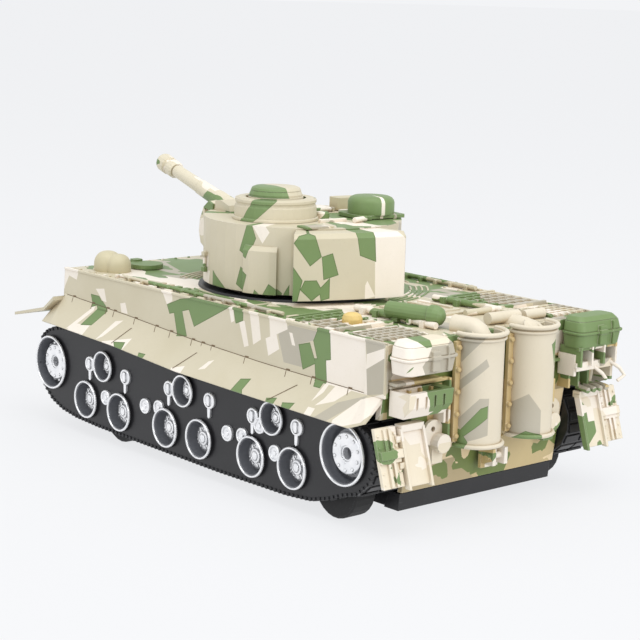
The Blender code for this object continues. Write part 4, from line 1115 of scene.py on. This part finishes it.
def wall(angle, radius, z):
    a = math.radians(angle)
    return (radius * math.cos(a), radius * math.sin(a), z)


roof = Shape(AT_TURRET)
# A bar and its two clips on the left wall.
roof.tube([wall(-14, TURRET_R + 1.0, z) for z in (84.0, 92.6)], 0.7)
roof.box(41.0, 45.6, -12.2, -9.8, 84.0, 86.2)
roof.box(41.0, 45.6, -12.2, -9.8, 91.2, 93.0)
# Blocks, rods and round heads on the roof.
roof.box(-8.0, 6.0, 22.0, 24.0, TURRET_Z1 - 0.2, TURRET_Z1 + 1.4)
roof.box(-30.0, -22.0, -4.0, -2.0, TURRET_Z1 - 0.2, TURRET_Z1 + 1.6)
roof.tube([(-34.0, 24.0, 109.4), (-38.0, 16.0, 109.4), (-39.0, 8.0, 109.6)], 1.2)
roof.tube([(-16.0, 27.0, 109.6), (-8.0, 30.0, 109.6)], 1.3)
roof.turned(((0, 107.9), (3.2, 107.9), (3.2, 110.6), (2.6, 111.4), (0, 111.6)), (-4.0, 10.0, 0), "z", 20)
roof.turned(((0, 107.9), (1.8, 107.9), (1.8, 111.8), (0, 112.4)), (-36.0, 0.0, 0), "z", 16)
roof.box(10.0, 24.0, 33.0, 41.0, TURRET_Z1 - 0.2, TURRET_Z1 + 0.9)
piece(roof, "turret_fittings", CAMO_ROOF, body="turret", bevel=0.2)

lid = Shape(AT_TURRET)
lid.turned(
    ((0, 122.3), (10.2, 122.3), (10.6, 121.9), (11.0, 121.2), (11.2, 121.4), (10.6, 122.5), (9.4, 123.0),
     (0, 123.1)),
    (*CUPOLA_AT, 0), "z", 64,
)
lid.turned(
    ((12.15, 114.8), (12.3, 115.0), (12.3, 118.6), (12.15, 118.9), (11.7, 118.9), (11.7, 114.8)),
    (*CUPOLA_AT, 0), "z", 64,
)
piece(lid, "cupola_lid_cap", CAMO_CUPOLA, body="cupola_lid", bevel=0)
collar = Shape(AT_TURRET)
collar.turned(
    ((18.9, TURRET_Z1 + 0.1), (19.4, TURRET_Z1 + 0.1), (19.2, TURRET_Z1 + 1.2), (18.5, TURRET_Z1 + 1.6),
     (18.3, TURRET_Z1)),
    (*CUPOLA_AT, 0), "z", 72,
)
collar.turned(
    ((17.9, 117.9), (18.2, 117.6), (18.2, 116.4), (17.6, 116.0), (17.4, 118.0)), (*CUPOLA_AT, 0), "z", 72
)
piece(collar, "cupola_rings", CAMO_CUPOLA, body="turret", bevel=0)

cap = Shape(AT_TURRET)
cap.turned(
    ((0, 110.2), (10.5, 110.2), (10.65, 111.0), (10.65, 115.6), (10.3, 116.6), (9.5, 117.6), (8.0, 118.25),
     (0, 118.4)),
    (*LOADER_AT, 0), "z", 72,
)
piece(cap, "loader_cap", CAMO_LOADER, body="turret", bevel=0)

# Sleeves along the barrel, the rings at their steps, and the muzzle's lip.
barrel = Shape(AT_GUN)
bore = (0, 0, TRUNNION_Z)
for y0, y1, r in ((-121.0, -95.0, 3.2), (-95.0, -77.2, 3.8), (-77.2, -55.0, 4.5)):
    barrel.turned(((r, y0), (r + 0.3, y1), (r - 0.8, y1), (r - 0.8, y0)), bore, "y", 40)
for y, r in ((-56.8, 4.9), (-77.8, 4.4), (-95.0, 3.8)):
    barrel.turned(((r - 0.9, y + 1.2), (r, y + 0.9), (r, y - 0.9), (r - 0.9, y - 1.2)), bore, "y", 32)
barrel.turned(((3.0, -136.6), (4.2, -136.6), (4.5, -136.2), (4.5, -135.4), (3.0, -135.4)), bore, "y", 32)
piece(barrel, "gun_rings", CAMO_GUN, body="gun", bevel=0)

# ---------------------------------------------------------------- studio

scene = bpy.context.scene
scene.view_settings.view_transform = "Standard"


def studio_floor():
    mesh = bpy.data.meshes.new("studio_floor")
    bm = bmesh.new()
    bmesh.ops.create_grid(bm, x_segments=1, y_segments=1, size=80.0)
    bm.to_mesh(mesh)
    bm.free()
    floor = bpy.data.objects.new("studio_floor", mesh)
    scene.collection.objects.link(floor)
    material = bpy.data.materials.new("paper_floor")
    material.use_nodes = True
    tree = material.node_tree
    tree.nodes.clear()
    glow = tree.nodes.new("ShaderNodeEmission")
    glow.inputs["Color"].default_value = colour(243, 244, 246)
    glow.inputs["Strength"].default_value = 0.84
    paper = tree.nodes.new("ShaderNodeBsdfDiffuse")
    paper.inputs["Color"].default_value = (0.13, 0.13, 0.132, 1)
    both = tree.nodes.new("ShaderNodeAddShader")
    out = tree.nodes.new("ShaderNodeOutputMaterial")
    tree.links.new(glow.outputs[0], both.inputs[0])
    tree.links.new(paper.outputs[0], both.inputs[1])
    tree.links.new(both.outputs[0], out.inputs[0])
    mesh.materials.append(material)
    return floor


studio_floor()


def soft_light(name, place, size, watts, tint=(1, 1, 1)):
    data = bpy.data.lights.new(name, "AREA")
    data.shape = "DISK"
    data.size = size
    data.energy = watts
    data.color = tint
    lamp = bpy.data.objects.new(name, data)
    lamp.location = place
    lamp.rotation_euler = (Vector((0, 0, 0.05)) - Vector(place)).to_track_quat("-Z", "Y").to_euler()
    scene.collection.objects.link(lamp)


soft_light("top_light", (0.25, 0.35, 1.5), 1.3, 10.0)
soft_light("rear_light", (-0.1, 1.5, 0.75), 0.9, 7.5, (1, 0.98, 0.94))
soft_light("left_light", (1.6, 0.1, 0.6), 0.9, 3.0)

world = bpy.data.worlds.new("studio")
world.use_nodes = True
world.node_tree.nodes["Background"].inputs[0].default_value = colour(243, 244, 246)
world.node_tree.nodes["Background"].inputs[1].default_value = 1.0
scene.world = world

camera_data = bpy.data.cameras.new("camera")
camera_data.lens = 98.7
camera_data.sensor_width = 36.0
camera = bpy.data.objects.new("camera", camera_data)
azimuth, elevation, roll = math.radians(138.70), math.radians(10.39), math.radians(1.586)
back = Vector((
    math.sin(azimuth) * math.cos(elevation), -math.cos(azimuth) * math.cos(elevation), math.sin(elevation),
))
right = (-back).cross(Vector((0, 0, 1))).normalized()
upward = back.cross(right)
across = right * math.cos(roll) + upward * math.sin(roll)
upright = upward * math.cos(roll) - right * math.sin(roll)
turn = Matrix((across, upright, back)).transposed().to_4x4()
camera.matrix_world = Matrix.Translation((0.5159, 0.5986, 0.2058)) @ turn
scene.collection.objects.link(camera)
scene.camera = camera
